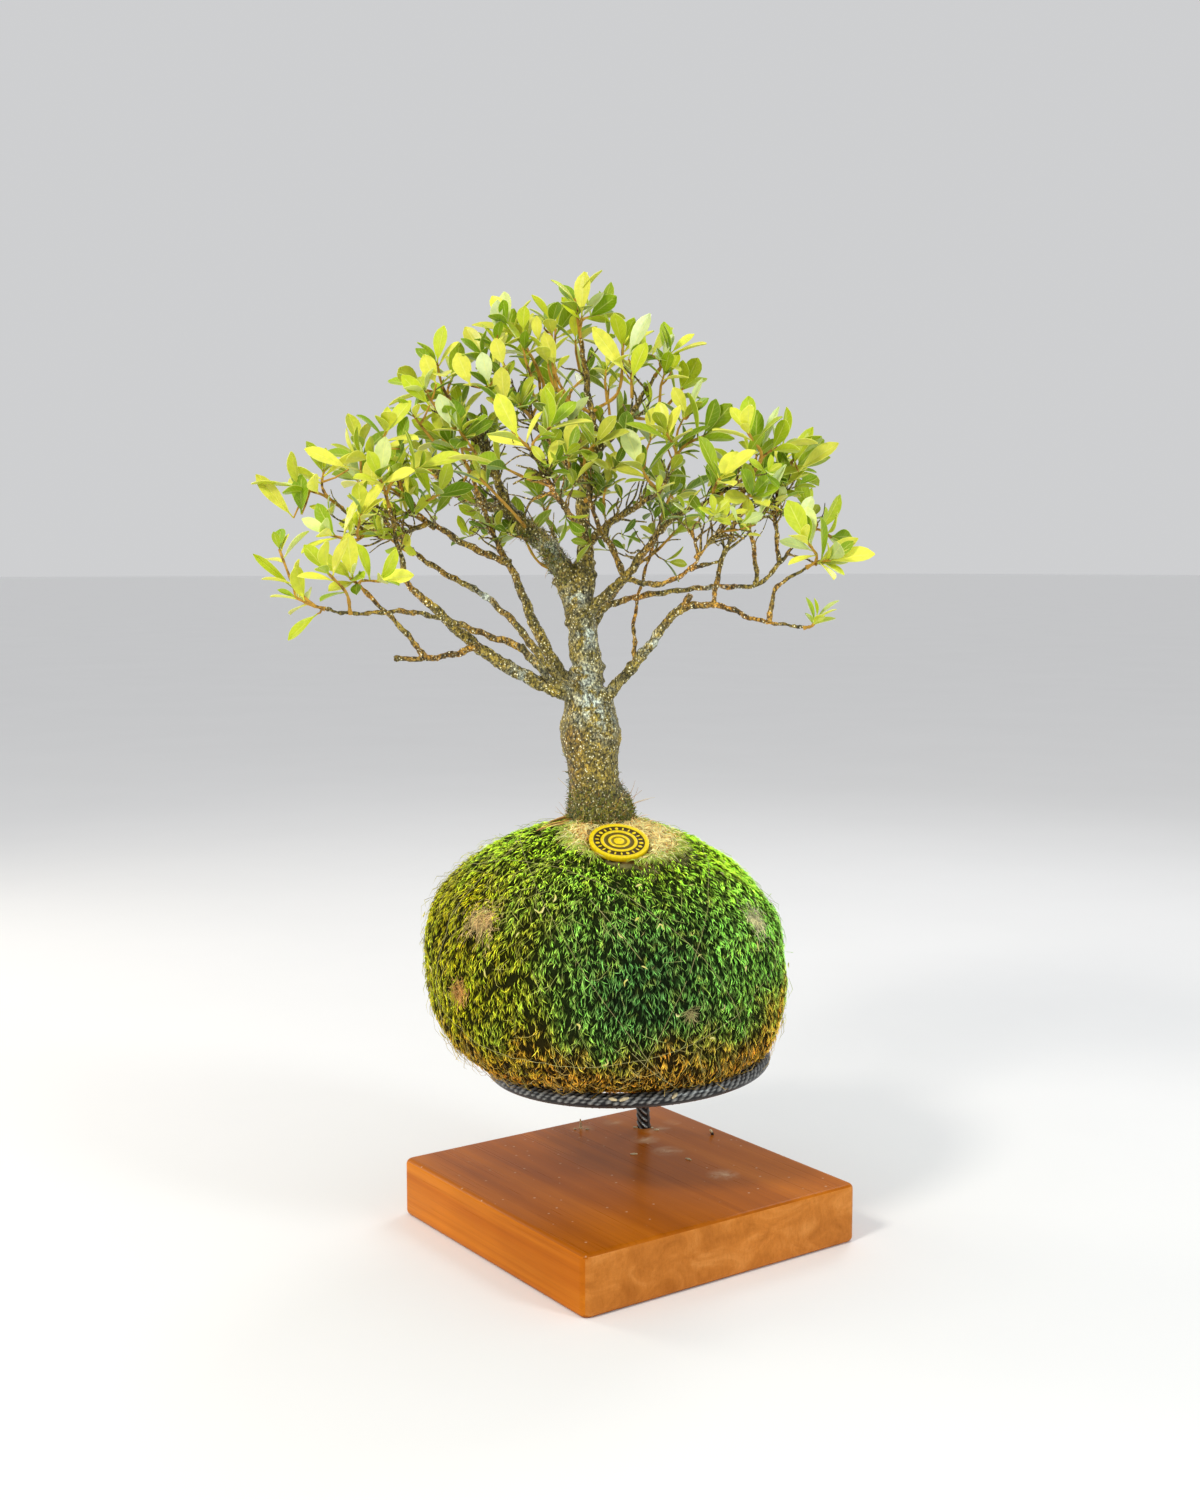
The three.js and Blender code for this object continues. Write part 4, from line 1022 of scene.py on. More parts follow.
def makeThreads():
    routes = []
    for loop in range(threadStyle["loops"]):
        axis = unit(draw.normal(size=3) * (1, 1, 0.7))
        side = unit(np.cross(axis, (0.3, 0.2, 1)))
        angles = np.linspace(0, 2 * np.pi, 150, endpoint=False)
        directions = unit(np.cos(angles)[:, None] * side + np.sin(angles)[:, None] * np.cross(axis, side)
                          + draw.uniform(-0.35, 0.35) * axis)
        proud = np.interp(np.sin(3 * angles + loop), (-1, 1), threadStyle["proud"])
        points = ballSurface(directions, proud)
        bare = bareShare(points) > -0.02
        if bare.any():  # opened at the bare soil, where the thread dives in
            last = np.flatnonzero(bare)[-1]
            points = np.roll(points, -last - 1, axis=0)[: len(points) - bare.sum()]
        routes.append((points, np.full(len(points), threadStyle["radius"])))
    for first, last in threadStyle["lines"]:
        path = ballLine(first, last, threadStyle["lineProud"])
        routes.append((path, np.full(len(path), threadStyle["lineRadius"])))
    degree = math.degrees(1 / 100)  # for each millimetre round the ball
    for turn, rise, size, shade in wornSpots[:2]:  # the net shows over the thin places
        for row in range(-3, 4):
            across = row * threadStyle["netGap"]
            half = size * 1.1 * math.sqrt(max(1 - (across / size / 1.2) ** 2, 0.05))
            for first, last in (((-half, across), (half, across + 1.5)), ((across, -half), (across + 1.5, half))):
                ends = [(turn + x * degree, rise + z * 0.8) for x, z in (first, last)]
                routes.append((ballLine(*ends, -0.3, 5), np.full(5, threadStyle["netRadius"])))
    threads = drawnRoutes("threads", routes, 1)
    material, tree, skin = newMaterial("goldenThread", Roughness=0.35)
    shade = rampOf(tree, grainAt(tree, 300), [(0.35, threadStyle["shade"] * 0.55), (0.65, threadStyle["shade"])])
    paint(tree, skin, shade)
    finishPiece(threads, "binding_threads", [material])

    routes = []
    places = [ballWay(turn, rise) for turn, rise in threadStyle["bits"]]
    places += [unit(draw.normal(size=(1, 3))) for _ in range(threadStyle["strayBits"])]
    for number, aim in enumerate(places):
        placed = number < len(threadStyle["bits"])
        root = ballSurface(aim, draw.uniform(2.0, 3.0))[0]
        if bareShare(root[None])[0] > -0.05 or offRing(root[None])[0] < 9:
            continue
        normal = ballNormals(aim)[0]
        along = unit(np.cross(normal, draw.normal(size=3)))
        curl = np.cross(normal, along)
        length, bend = draw.uniform(2.5, 6) if placed else draw.uniform(1.5, 4), draw.normal(0, 0.9)
        path = [root + along * length * t + curl * bend * (t - 0.5) ** 2 * 6 + normal * draw.uniform(-0.2, 0.5)
                for t in (0, 0.3, 0.6, 1)]
        radius = draw.uniform(0.42, 0.72) if placed else draw.uniform(0.2, 0.42)
        routes.append((np.array(path), radius * np.array([0.5, 1, 0.9, 0.4])))
    bits = drawnRoutes("bits", routes, 1)
    material, tree, skin = newMaterial("paleStalk", Roughness=0.6)
    shade = rampOf(tree, grainAt(tree, 180), [(0.35, linear(214, 204, 84)), (0.65, linear(250, 240, 168))])
    paint(tree, skin, shade)
    finishPiece(bits, "loose_stalks", [material])
    report("threads")


# the round tag: a plain disc with raised rings and a row of studs
tagStyle = {
    "x": -4.5, "y": -43.5, "z": 247, "radius": 17.5, "thickness": 3,
    "tilt": math.radians(25), "roll": math.radians(5),
    "steps": ((2.3, 0), (0.3, -0.6), (3.9, 0), (0.3, 0.6), (1.6, 0), (0.3, -0.5), (2.3, 0), (0.3, 0.45), (1.2, 0),
              (0.3, -0.4), (1.5, 0), (0.3, 0.4)),
    "studs": 22, "studRing": 12.9, "studHeight": 0.85, "rimFrom": 15.9, "bevel": 0.16,
    "yellow": linear(252, 222, 16), "gold": linear(214, 170, 14), "dark": linear(72, 55, 10),
}


def makeTag():
    radius, thick = tagStyle["radius"] * mm, tagStyle["thickness"] * mm
    bpy.ops.mesh.primitive_cylinder_add(vertices=96, radius=radius, depth=thick)
    tag = bpy.context.object
    bpy.ops.object.mode_set(mode="EDIT")
    pick(tag, "FACE", lambda face: face.normal.z > 0.9)
    for inset, rise in tagStyle["steps"]:
        bpy.ops.mesh.inset(thickness=inset * mm, depth=rise * mm)
    bpy.ops.object.mode_set(mode="OBJECT")
    studs = [tag]
    for stud in range(tagStyle["studs"]):
        angle = stud * 2 * np.pi / tagStyle["studs"]
        place = Vector((math.cos(angle), math.sin(angle), 0)) * tagStyle["studRing"] * mm
        place += Vector((0, 0, tagStyle["studHeight"] * mm))
        bpy.ops.mesh.primitive_uv_sphere_add(
            segments=14, ring_count=7, radius=mm, location=place, rotation=(0, 0, angle),
            scale=(1.55, 0.62 + 0.5 * (stud % 3 == 0), 0.6))
        studs.append(bpy.context.object)
    joined(studs)
    modify(tag, "BEVEL", width=tagStyle["bevel"] * mm, segments=2, limit_method="ANGLE",
           angle_limit=math.radians(35))
    applyAll(tag)
    heights = pointsOf(tag)[:, 2]
    far = np.hypot(*pointsOf(tag)[:, :2].T)
    bed = thick / 2 - 0.55 * mm
    raised = smooth(bed, bed + 0.3 * mm, heights)[:, None]
    shade = tagStyle["dark"] + raised * (tagStyle["yellow"] - tagStyle["dark"])
    rim = (heights < 0.9 * mm) & (far > tagStyle["rimFrom"] * mm)
    shade = np.where(rim[:, None], tagStyle["gold"], shade)
    colourPoints(tag, shade)
    place = Matrix.Translation(Vector((tagStyle["x"], tagStyle["y"], tagStyle["z"])) * mm)
    tag.matrix_world = place @ Matrix.Rotation(tagStyle["roll"], 4, "Y") @ Matrix.Rotation(tagStyle["tilt"], 4, "X")
    standIn(tag)
    material, tree, skin = newMaterial(
        "paintedTag", Roughness=0.38, Metallic=0.1, Coat_Weight=0.1, Specular_IOR_Level=0.25)
    wear = [(0.3, 0.72), (0.62, 1.06)]
    paint(tree, skin, mottled(tree, tintOf(tree), grainAt(tree, 700, 5, 0.7), wear, 0.8))
    bumpFrom(tree, skin, grainAt(tree, 1500, 3), 0.15, 0.0001)
    finishPiece(tag, "plain_tag", [material], ["round_tag"], 30)
    report("tag")


# the wood, in plant millimetres: each point of the trunk has its radius; each branch has its radius at its start
# and at its tip, then its points, the first of them inside its parent
trunkRoute = [
    (-16, 0, 216, 13), (-16, 0, 232, 19), (-16, 0, 244, 21.5), (-16, 0, 255, 20.3), (-17, 0, 268, 18),
    (-19.5, 0, 278, 15), (-20.5, 0, 289, 15.3), (-22, 0, 299, 16.9), (-21, 0, 309, 17.2), (-21, 0, 320, 15.4),
    (-23, 0, 334, 13.5),
]
branches = {
    "leader": (10.6, 7.8, (-22, 0, 322), (-23, 1, 343), (-26, 3, 367), (-29, 5, 391)),
    "spine": (6.6, 1.5, (-26, 2, 380), (-24, 4, 404), (-25, 6, 424), (-26, 8, 446), (-18, 6, 475),
              (-21, 1, 498), (-27, 0, 540)),
    "limbLeft": (8, 4.6, (-27, 4, 374), (-37, 8, 402), (-47, 12, 418), (-60, 16, 429), (-75, 22, 445)),
    "lowLeft": (5.2, 1.2, (-22, -2, 327), (-40, -8, 333), (-58, -14, 341), (-81, -22, 355), (-99, -28, 370),
                (-115, -32, 386), (-125, -34, 394), (-130, -34, 411), (-137, -30, 440)),
    "lowLeftSpur": (2.3, 1.5, (-87, -24, 361), (-96, -33, 357), (-113, -42, 354), (-133, -48, 354)),
    "spurRise": (2, 1.3, (-116, -43, 354), (-127, -46, 369), (-149, -48, 392)),
    "midLeft": (4.6, 1.2, (-26, 1, 329), (-40, 4, 344), (-56, 10, 374), (-67, 13, 401), (-78, 15, 421),
                (-93, 12, 462)),
    "fanLeft": (2.9, 1.1, (-29, -4, 329), (-46, -8, 346), (-64, -4, 370), (-86, 4, 390), (-107, 12, 401),
                (-128, 20, 415), (-142, 26, 428), (-155, 30, 447)),
    "kneeLeft": (3, 1, (-28, -5, 329), (-44, -14, 339), (-62, -22, 359), (-80, -28, 366), (-101, -40, 375),
                 (-125, -54, 381), (-156, -64, 380), (-170, -67, 383)),
    "highLeft": (2.4, 1, (-70, 13, 408), (-97, 2, 420), (-116, -8, 431), (-136, -22, 423), (-151, -30, 427),
                 (-164, -35, 440)),
    "upLeft": (1.6, 1, (-113, -7, 429), (-125, -10, 440), (-136, -14, 460)),
    "lowRight": (4.1, 1, (-17, -2, 324), (-4, -8, 338), (15, -20, 362), (30, -28, 381), (53, -36, 384),
                 (74, -44, 376), (101, -50, 372)),
    "knobRight": (2.4, 2.1, (30, -28, 380), (37, -31, 390)),
    "rightRise": (1.8, 1.1, (50, -35, 383), (53, -31, 403), (60, -28, 423), (67, -24, 441)),
    "tipRise": (1.6, 1, (81, -46, 375), (85, -48, 394), (102, -52, 406)),
    "forkRight": (3.4, 1.1, (-24, 2, 377), (-14, -8, 388), (0, -20, 401), (13, -28, 419), (27, -32, 434),
                  (50, -34, 446), (72, -34, 460)),
    "forkBack": (2.2, 1.2, (-1, -20, 400), (-8, -18, 416), (-18, -17, 434), (-24, -22, 460)),
    "bareRight": (2, 0.9, (-1, -20, 400), (15, -30, 396), (31, -38, 401), (40, -43, 411), (37, -46, 427)),
    "bareTwig": (1.2, 0.8, (39, -43, 411), (52, -50, 426)),
    "bareSpur": (1.3, 0.9, (36, -41, 405), (55, -38, 410)),
    "longRight": (2.4, 1.1, (-25, 4, 374), (-8, 8, 384), (12, 16, 389), (53, 24, 394), (82, 26, 396),
                  (96, 26, 411), (110, 22, 426)),
    "crookRight": (1.7, 1, (80, 26, 395), (79, 22, 409), (74, 14, 432), (72, 12, 442)),
    "endRise": (1.5, 1, (94, 26, 408), (91, 22, 430), (91, 16, 452)),
    "slender": (1.3, 0.9, (5, -13, 352), (5, -2, 376), (11, 14, 401), (22, 30, 436)),
    "shoulder": (3, 1.1, (-25, 5, 417), (-12, -8, 430), (2, -20, 439), (19, -30, 450), (26, -32, 462)),
    "crownLeft": (2.8, 1.2, (-23, 8, 455), (-36, 10, 468), (-57, 8, 495), (-68, 6, 509)),
    "crownRight": (2.7, 1.1, (-18, 6, 474), (2, 2, 495), (17, -2, 518)),
    "limbUp": (3.4, 1.2, (-69, 19, 436), (-76, 20, 454), (-86, 13, 476), (-97, 6, 496)),
    "backLow": (4.2, 1.3, (-25, 6, 352), (-28, 34, 372), (-37, 76, 401), (-49, 104, 436)),
    "backRight": (3.8, 1.2, (-24, 5, 360), (-16, 36, 378), (7, 76, 407), (29, 98, 441)),
    "backLeft": (3.6, 1.3, (-70, 20, 438), (-80, 44, 442), (-107, 80, 452), (-120, 90, 463)),
    "backHigh": (3, 1.2, (-26, 7, 437), (-25, 32, 452), (-28, 66, 486), (-33, 74, 506)),
    "frontHigh": (2.9, 1.1, (-25, 4, 419), (-31, -22, 433), (-44, -60, 452), (-51, -76, 466)),
}
burls = [  # swellings of the trunk: size, height, turn, how tall and how wide
    (1.8, 303, 0.1, 6, 0.5), (1.9, 311, 2.9, 7, 0.6), (1.0, 262, -0.5, 8, 0.5), (1.5, 316, -1.4, 5, 0.4),
    (1.4, 286, -2.0, 6, 0.4), (1.3, 274, -1.0, 5, 0.4),
]
woodStyle = {
    "voxel": 0.8, "trunkSteps": 6, "trunkSides": 72, "fusedFrom": 3.4, "fusedSteps": 8, "thinSteps": 14,
    "knotEvery": 8.0, "knotSwell": 0.12, "wander": 0.4, "youngRadii": (1.3, 3.4), "footHeights": (0.245, 0.285),
    "dark": linear(62, 54, 24), "olive": linear(120, 110, 50), "gold": linear(174, 152, 62),
    # pale: painted glints on the bark
    "pale": linear(255, 248, 204), "lichenAndGlint": linear(204, 216, 204), "moss": linear(66, 82, 26),
    "orange": linear(198, 138, 46),
    # where the trunk's left side gets painted warm light, shown as young orange bark; where the bark has lichen,
    # lightened into painted glints; and where it has moss: a place and a size
    "warmLightSpots": [(-36, -10, 304, 13), (-34, -10, 322, 12), (-34, -10, 288, 10), (-33, -12, 272, 9),
                  (-32, -10, 340, 9), (-52, -4, 360, 12), (-74, -4, 372, 12)],
    # lichen patches, lightened so that they also give painted glints
    "lichenAndGlintSpots": [(-20, -14, 326, 12), (-12, -15, 313, 8), (-26, -8, 341, 9), (-22, -4, 366, 8), (-46, 6, 414, 8),
                    (14, -20, 361, 8), (-60, -14, 342, 9), (-30, -2, 388, 6), (60, 24, 394, 8), (-84, 0, 389, 8)],
    "mossSpots": [(-34, -10, 250, 20), (-10, -14, 244, 15), (-48, 10, 408, 10), (-16, 16, 256, 22),
                  (-62, 16, 424, 9)],
}


def radiusAlong(branch, share):
    first, last = branch[:2]
    return last + (first - last) * (1 - share) ** 1.2


def branchLine(branch, key):
    fused = branch[0] >= woodStyle["fusedFrom"]
    points, shares = throughPoints(branch[2:], woodStyle["fusedSteps" if fused else "thinSteps"])
    radii = radiusAlong(branch, shares)
    run = np.concatenate([[0], np.cumsum(np.linalg.norm(np.diff(points, axis=0), axis=1))])
    beat = run / woodStyle["knotEvery"] + 0.37 * key
    knots = np.exp(-((beat - np.round(beat)) / 0.16) ** 2)
    radii = radii * (1 + woodStyle["knotSwell"] * knots * (1 + np.sin(beat * 5)) + 0.05 * np.sin(run * 0.9 + key))
    radii[run < 6] *= 1 + 0.25 * (1 - run[run < 6] / 6)
    radii *= 1 if fused else 0.92
    ease = np.clip(np.minimum(run, run[-1] - run) / 8, 0, 1) * woodStyle["wander"]
    for axis in range(3):
        points[:, axis] += ease * np.sin(run * (0.31 + 0.07 * axis) + 2.1 * key + axis)
    return points, radii


def trunkPiece():
    centre, shares = throughPoints([point[:3] for point in trunkRoute], woodStyle["trunkSteps"])
    radii = np.interp(shares, np.linspace(0, 1, len(trunkRoute)), [point[3] for point in trunkRoute])
    angles = np.linspace(0, 2 * np.pi, woodStyle["trunkSides"], endpoint=False)
    around, height = np.meshgrid(angles, centre[:, 2])
    swell = 1 + 0.05 * np.sin(3 * around + 4 * shares[:, None]) + 0.03 * np.sin(5 * around)
    bulge = 0
    for size, rise, turn, tall, wide in burls:
        aside = np.angle(np.exp(1j * (around - turn)))
        bulge = bulge + size * np.exp(-((height - rise) / tall) ** 2 - (aside / wide) ** 2)
    toes = 1.5 * (1 - smooth(248, 270, height)) * np.cos(5 * around + 0.8)
    reach = radii[:, None] * swell + bulge + toes
    x, y = centre[:, None, 0] + reach * np.cos(around), centre[:, None, 1] + reach * np.sin(around)
    points = np.stack([x, y, height], 2)
    rows, columns = reach.shape
    index = np.arange(rows * columns).reshape(rows, columns)
    beside = np.roll(index, -1, axis=1)
    faces = np.stack([index[:-1], beside[:-1], beside[1:], index[1:]], -1).reshape(-1, 4)
    trunk = meshPiece("trunk", toFrame(points.reshape(-1, 3)), faces)
    useOnly(trunk)
    bpy.ops.object.mode_set(mode="EDIT")
    bpy.ops.mesh.select_all(action="DESELECT")
    bpy.ops.mesh.select_mode(type="EDGE")
    bpy.ops.mesh.select_non_manifold()
    bpy.ops.mesh.fill_holes(sides=0)
    bpy.ops.mesh.select_all(action="SELECT")
    bpy.ops.mesh.normals_make_consistent(inside=False)
    bpy.ops.object.mode_set(mode="OBJECT")
    return trunk, (centre, radii)


def barkMaterial():  # the tint's red is young orange bark, and painted warm light on the trunk's left; its green is lichen with painted glints; its blue moss
    material, tree, skin = newMaterial("bark")
    coarse = grainAt(tree, 120, 6, 0.7, 0.5)
    fine = grainAt(tree, (720, 720, 430), 5, 0.75)
    patchy = grainAt(tree, 150, 5, 0.7, 0.4)
    masks = addNode(tree, "SeparateColor", {"Color": tintOf(tree)})
    shade = rampOf(tree, coarse, [(0.3, woodStyle["dark"]), (0.47, woodStyle["olive"]), (0.66, woodStyle["gold"])])
    orange = woodStyle["orange"]
    young = rampOf(tree, coarse, [(0.36, woodStyle["dark"]), (0.5, orange * 0.7), (0.66, orange * 1.3)])
    warm = rampOf(tree, grainAt(tree, 26, 4, 0.65), [(0.42, 0.12), (0.6, 0.9)])
    shade = mixOf(tree, times(tree, masks.outputs["Red"], warm), shade, young)
    # pale specks on the higher fine grain: painted glints
    spots = addNode(tree, "TexVoronoi", {"Vector": objectCoords(tree), "Scale": 520.0})
    spot = rampOf(tree, spots.outputs["Distance"], [(0.16, 1), (0.34, 0)])
    speck = times(tree, spot, rampOf(tree, fine, [(0.44, 0), (0.52, 1)]))
    shade = mixOf(tree, speck, shade, woodStyle["pale"])
    # green: lichen, lightened into painted glints; blue: moss
    for channel, name, low in (("Green", "lichenAndGlint", 0.44), ("Blue", "moss", 0.36)):
        cover = rampOf(tree, patchy, [(low, 0), (low + 0.12, 1)])
        share = times(tree, masks.outputs[channel], cover)
        shade = mixOf(tree, times(tree, share, 0.9), shade, woodStyle[name])
    # the fine grain near black where it is low and 2.3 times brighter where it is high: painted shade in the
    # crevices and painted glints
    shade = mottled(tree, shade, fine, [(0.41, 0.1), (0.5, 0.85), (0.58, 2.3)], 0.9)
    paint(tree, skin, shade)
    paint(tree, skin, rampOf(tree, fine, [(0.42, 0.6), (0.58, 0.24)]), "Roughness")
    height = plus(tree, plus(tree, coarse, fine), times(tree, spot, 0.3))
    bumpFrom(tree, skin, height, 0.9, 0.0018)
    return material


def nearSpots(points, spots):  # 1 at a spot, fading away from it
    share = np.zeros(len(points))
    for x, y, z, size in spots:
        share = np.maximum(share, np.exp(-np.sum((points - toFrame((x, y, z))) ** 2, 1) / (size * mm) ** 2))
    return share


def barkMasks(points, routes):
    paths, widths = (np.concatenate(parts) for parts in zip(*routes))
    finder = finderOf(toFrame(paths))
    thick = widths[[finder.find(point)[1] for point in points]]
    young = np.clip(1 - smooth(*woodStyle["youngRadii"], thick), 0.1, 1)
    # painted warm light on the trunk's left side, laid in as young orange bark
    young = np.maximum(young, 0.85 * nearSpots(points, woodStyle["warmLightSpots"]))
    foot = 0.85 * (1 - smooth(*woodStyle["footHeights"], points[:, 2]))
    moss = np.maximum(nearSpots(points, woodStyle["mossSpots"]), foot)
    return np.stack([young, nearSpots(points, woodStyle["lichenAndGlintSpots"]), moss], 1)


def makeWood():
    lines = [branchLine(branch, key) for key, branch in enumerate(branches.values())]
    thick = [branch[0] >= woodStyle["fusedFrom"] for branch in branches.values()]
    wood = drawnRoutes("limbs", [line for line, fused in zip(lines, thick) if fused], 4)
    trunk, trunkLine = trunkPiece()
    joined([wood, trunk])
    modify(wood, "REMESH", mode="VOXEL", voxel_size=woodStyle["voxel"] * mm)
    modify(wood, "SMOOTH", factor=0.5, iterations=1)
    applyAll(wood)
    joined([wood, drawnRoutes("twigs", [line for line, fused in zip(lines, thick) if not fused], 3)])
    for name, size, strength, kind in (("warts", 0.0044, 1.5, "CLOUDS"), ("flakes", 0.0015, 0.6, "STUCCI")):
        texture = bpy.data.textures.new(name, kind)
        texture.noise_scale = size
        modify(wood, "DISPLACE", texture=texture, texture_coords="LOCAL", mid_level=0.5, strength=strength * mm)
    applyAll(wood)
    masks = barkMasks(pointsOf(wood), lines + [trunkLine])
    colourPoints(wood, masks)
    bark = barkMaterial()
    finishPiece(wood, "tree_bark", [bark], ["tree_wood"])
    print("wood triangles", sum(len(face.vertices) - 2 for face in wood.data.polygons))
    report("wood")
    makeBarkMoss(wood, masks)
    return lines, bark


barkMossStyle = {
    "count": 6400, "length": (1.4, 4.2), "width": (0.3, 0.6), "hairs": 60, "hairLength": (5, 13), "lowest": 224,
    "shades": (linear(112, 134, 36), linear(164, 168, 58), linear(190, 140, 66), linear(234, 208, 140)),
    "shares": (0.42, 0.24, 0.22, 0.12),
}


def makeBarkMoss(wood, masks):  # short moss and hairs on the lower trunk and under the left limb
    count = barkMossStyle["count"]
    cosine, sine = math.cos(plantTurn), math.sin(plantTurn)
    turnBack = np.array([[cosine, -sine, 0], [sine, cosine, 0], [0, 0, 1]])
    normals = pointsOf(wood, "normal") @ turnBack
    places = pointsOf(wood) @ turnBack / mm
    chances = masks[:, 2] * (places[:, 2] > barkMossStyle["lowest"])
    chosen = draw.choice(len(chances), count, p=chances / chances.sum())
    normals, roots = normals[chosen], places[chosen]
    along = unit(normals * 0.8 + (0, 0, 0.35) + draw.normal(0, 0.6, (count, 3)))
    kind = draw.choice(4, count, p=barkMossStyle["shares"])
    tints = np.array(barkMossStyle["shades"])[kind] * draw.uniform(0.5, 1.3, (count, 1))
    strands = (roots - normals * 0.4, along, unit(normals + 0.01), draw.uniform(*barkMossStyle["length"], count),
               draw.uniform(*barkMossStyle["width"], count), tints)
    # bark moss: darker at the root and brighter at the tip, painted shade and painted highlight
    layStrands("bark_moss", "bark", mossMaterial("barkMoss", False), lambda x: 0.35 + 0.9 * x, strands)
    routes, shades = [], []
    for chosenHair in draw.choice(count, barkMossStyle["hairs"]):
        way = unit(normals[chosenHair] + (0, 0, 0.3) + draw.normal(0, 0.4, 3))
        length, bend = draw.uniform(*barkMossStyle["hairLength"]), draw.normal(0, 2.0, 3)
        path = [roots[chosenHair] + way * length * t + bend * t * t for t in (0, 0.33, 0.66, 1)]
        routes.append((np.array(path), np.array([0.16, 0.14, 0.1, 0.05])))
        shades.append(barkMossStyle["shades"][2 + len(routes) % 2])
    hairs = drawnRoutes("hairs", routes, 0)
    colourRuns(hairs, routes, shades)
    finishPiece(hairs, "bark_hairs", [bpy.data.materials["barkMoss"]])
    report("bark moss")


twigStyle = {
    "count": 420, "length": (11, 28), "radius": (0.45, 0.9), "leafy": 0.5, "lowest": 410,
    "tangle": (-78, 456, 38, 30),  # plant x and z of its middle, and its half width and height
}


def growTwigs(lines, bark):  # crooked twigs inside the crown; returns the tips that carry leaves
    routes, tips = [], []
    while len(routes) < twigStyle["count"]:
        points, radii = lines[draw.integers(len(lines))]
        spot = draw.integers(int(len(points) * 0.35), len(points) - 1)
        start = points[spot]
        x, z, wide, tall = twigStyle["tangle"]
        crowded = math.exp(-((start[0] - x) / wide) ** 2 - ((start[2] - z) / tall) ** 2)
        if start[2] < twigStyle["lowest"] - 24 * crowded or draw.random() > 0.16 + 0.84 * crowded:
            continue
        outward = unit(start - (-25, 5, 400))
        way = unit(0.6 * unit(points[spot + 1] - start) + 0.35 * outward + (0, 0, 0.3) + draw.normal(0, 0.55, 3))
        length, path = draw.uniform(*twigStyle["length"]), [start]
        for _ in range(4):
            path.append(path[-1] + way * length / 4)
            way = unit(way + draw.normal(0, 0.3, 3))
        if not fitsBox(toFrame(np.array(path))):
            continue
        radius = min(draw.uniform(*twigStyle["radius"]), 0.8 * radii[spot])
        knots = 1 + 0.2 * np.cos(np.arange(9) * 2.6)
        routes.append((throughPoints(path, 2)[0], radius * np.linspace(1.1, 0.55, 9) * knots))
        if draw.random() < twigStyle["leafy"] * (1 - 0.85 * crowded):
            tips.append((path[-1], unit(path[-1] - path[-2]), 3 + len(tips) % 3, 0.6))
    twigs = drawnRoutes("twigs", routes, 0)
    colourPoints(twigs, np.tile((0.6, 0.0, 0.1), (len(twigs.data.vertices), 1)))
    finishPiece(twigs, "crown_twigs", [bark])
    report("twigs")
    return tips


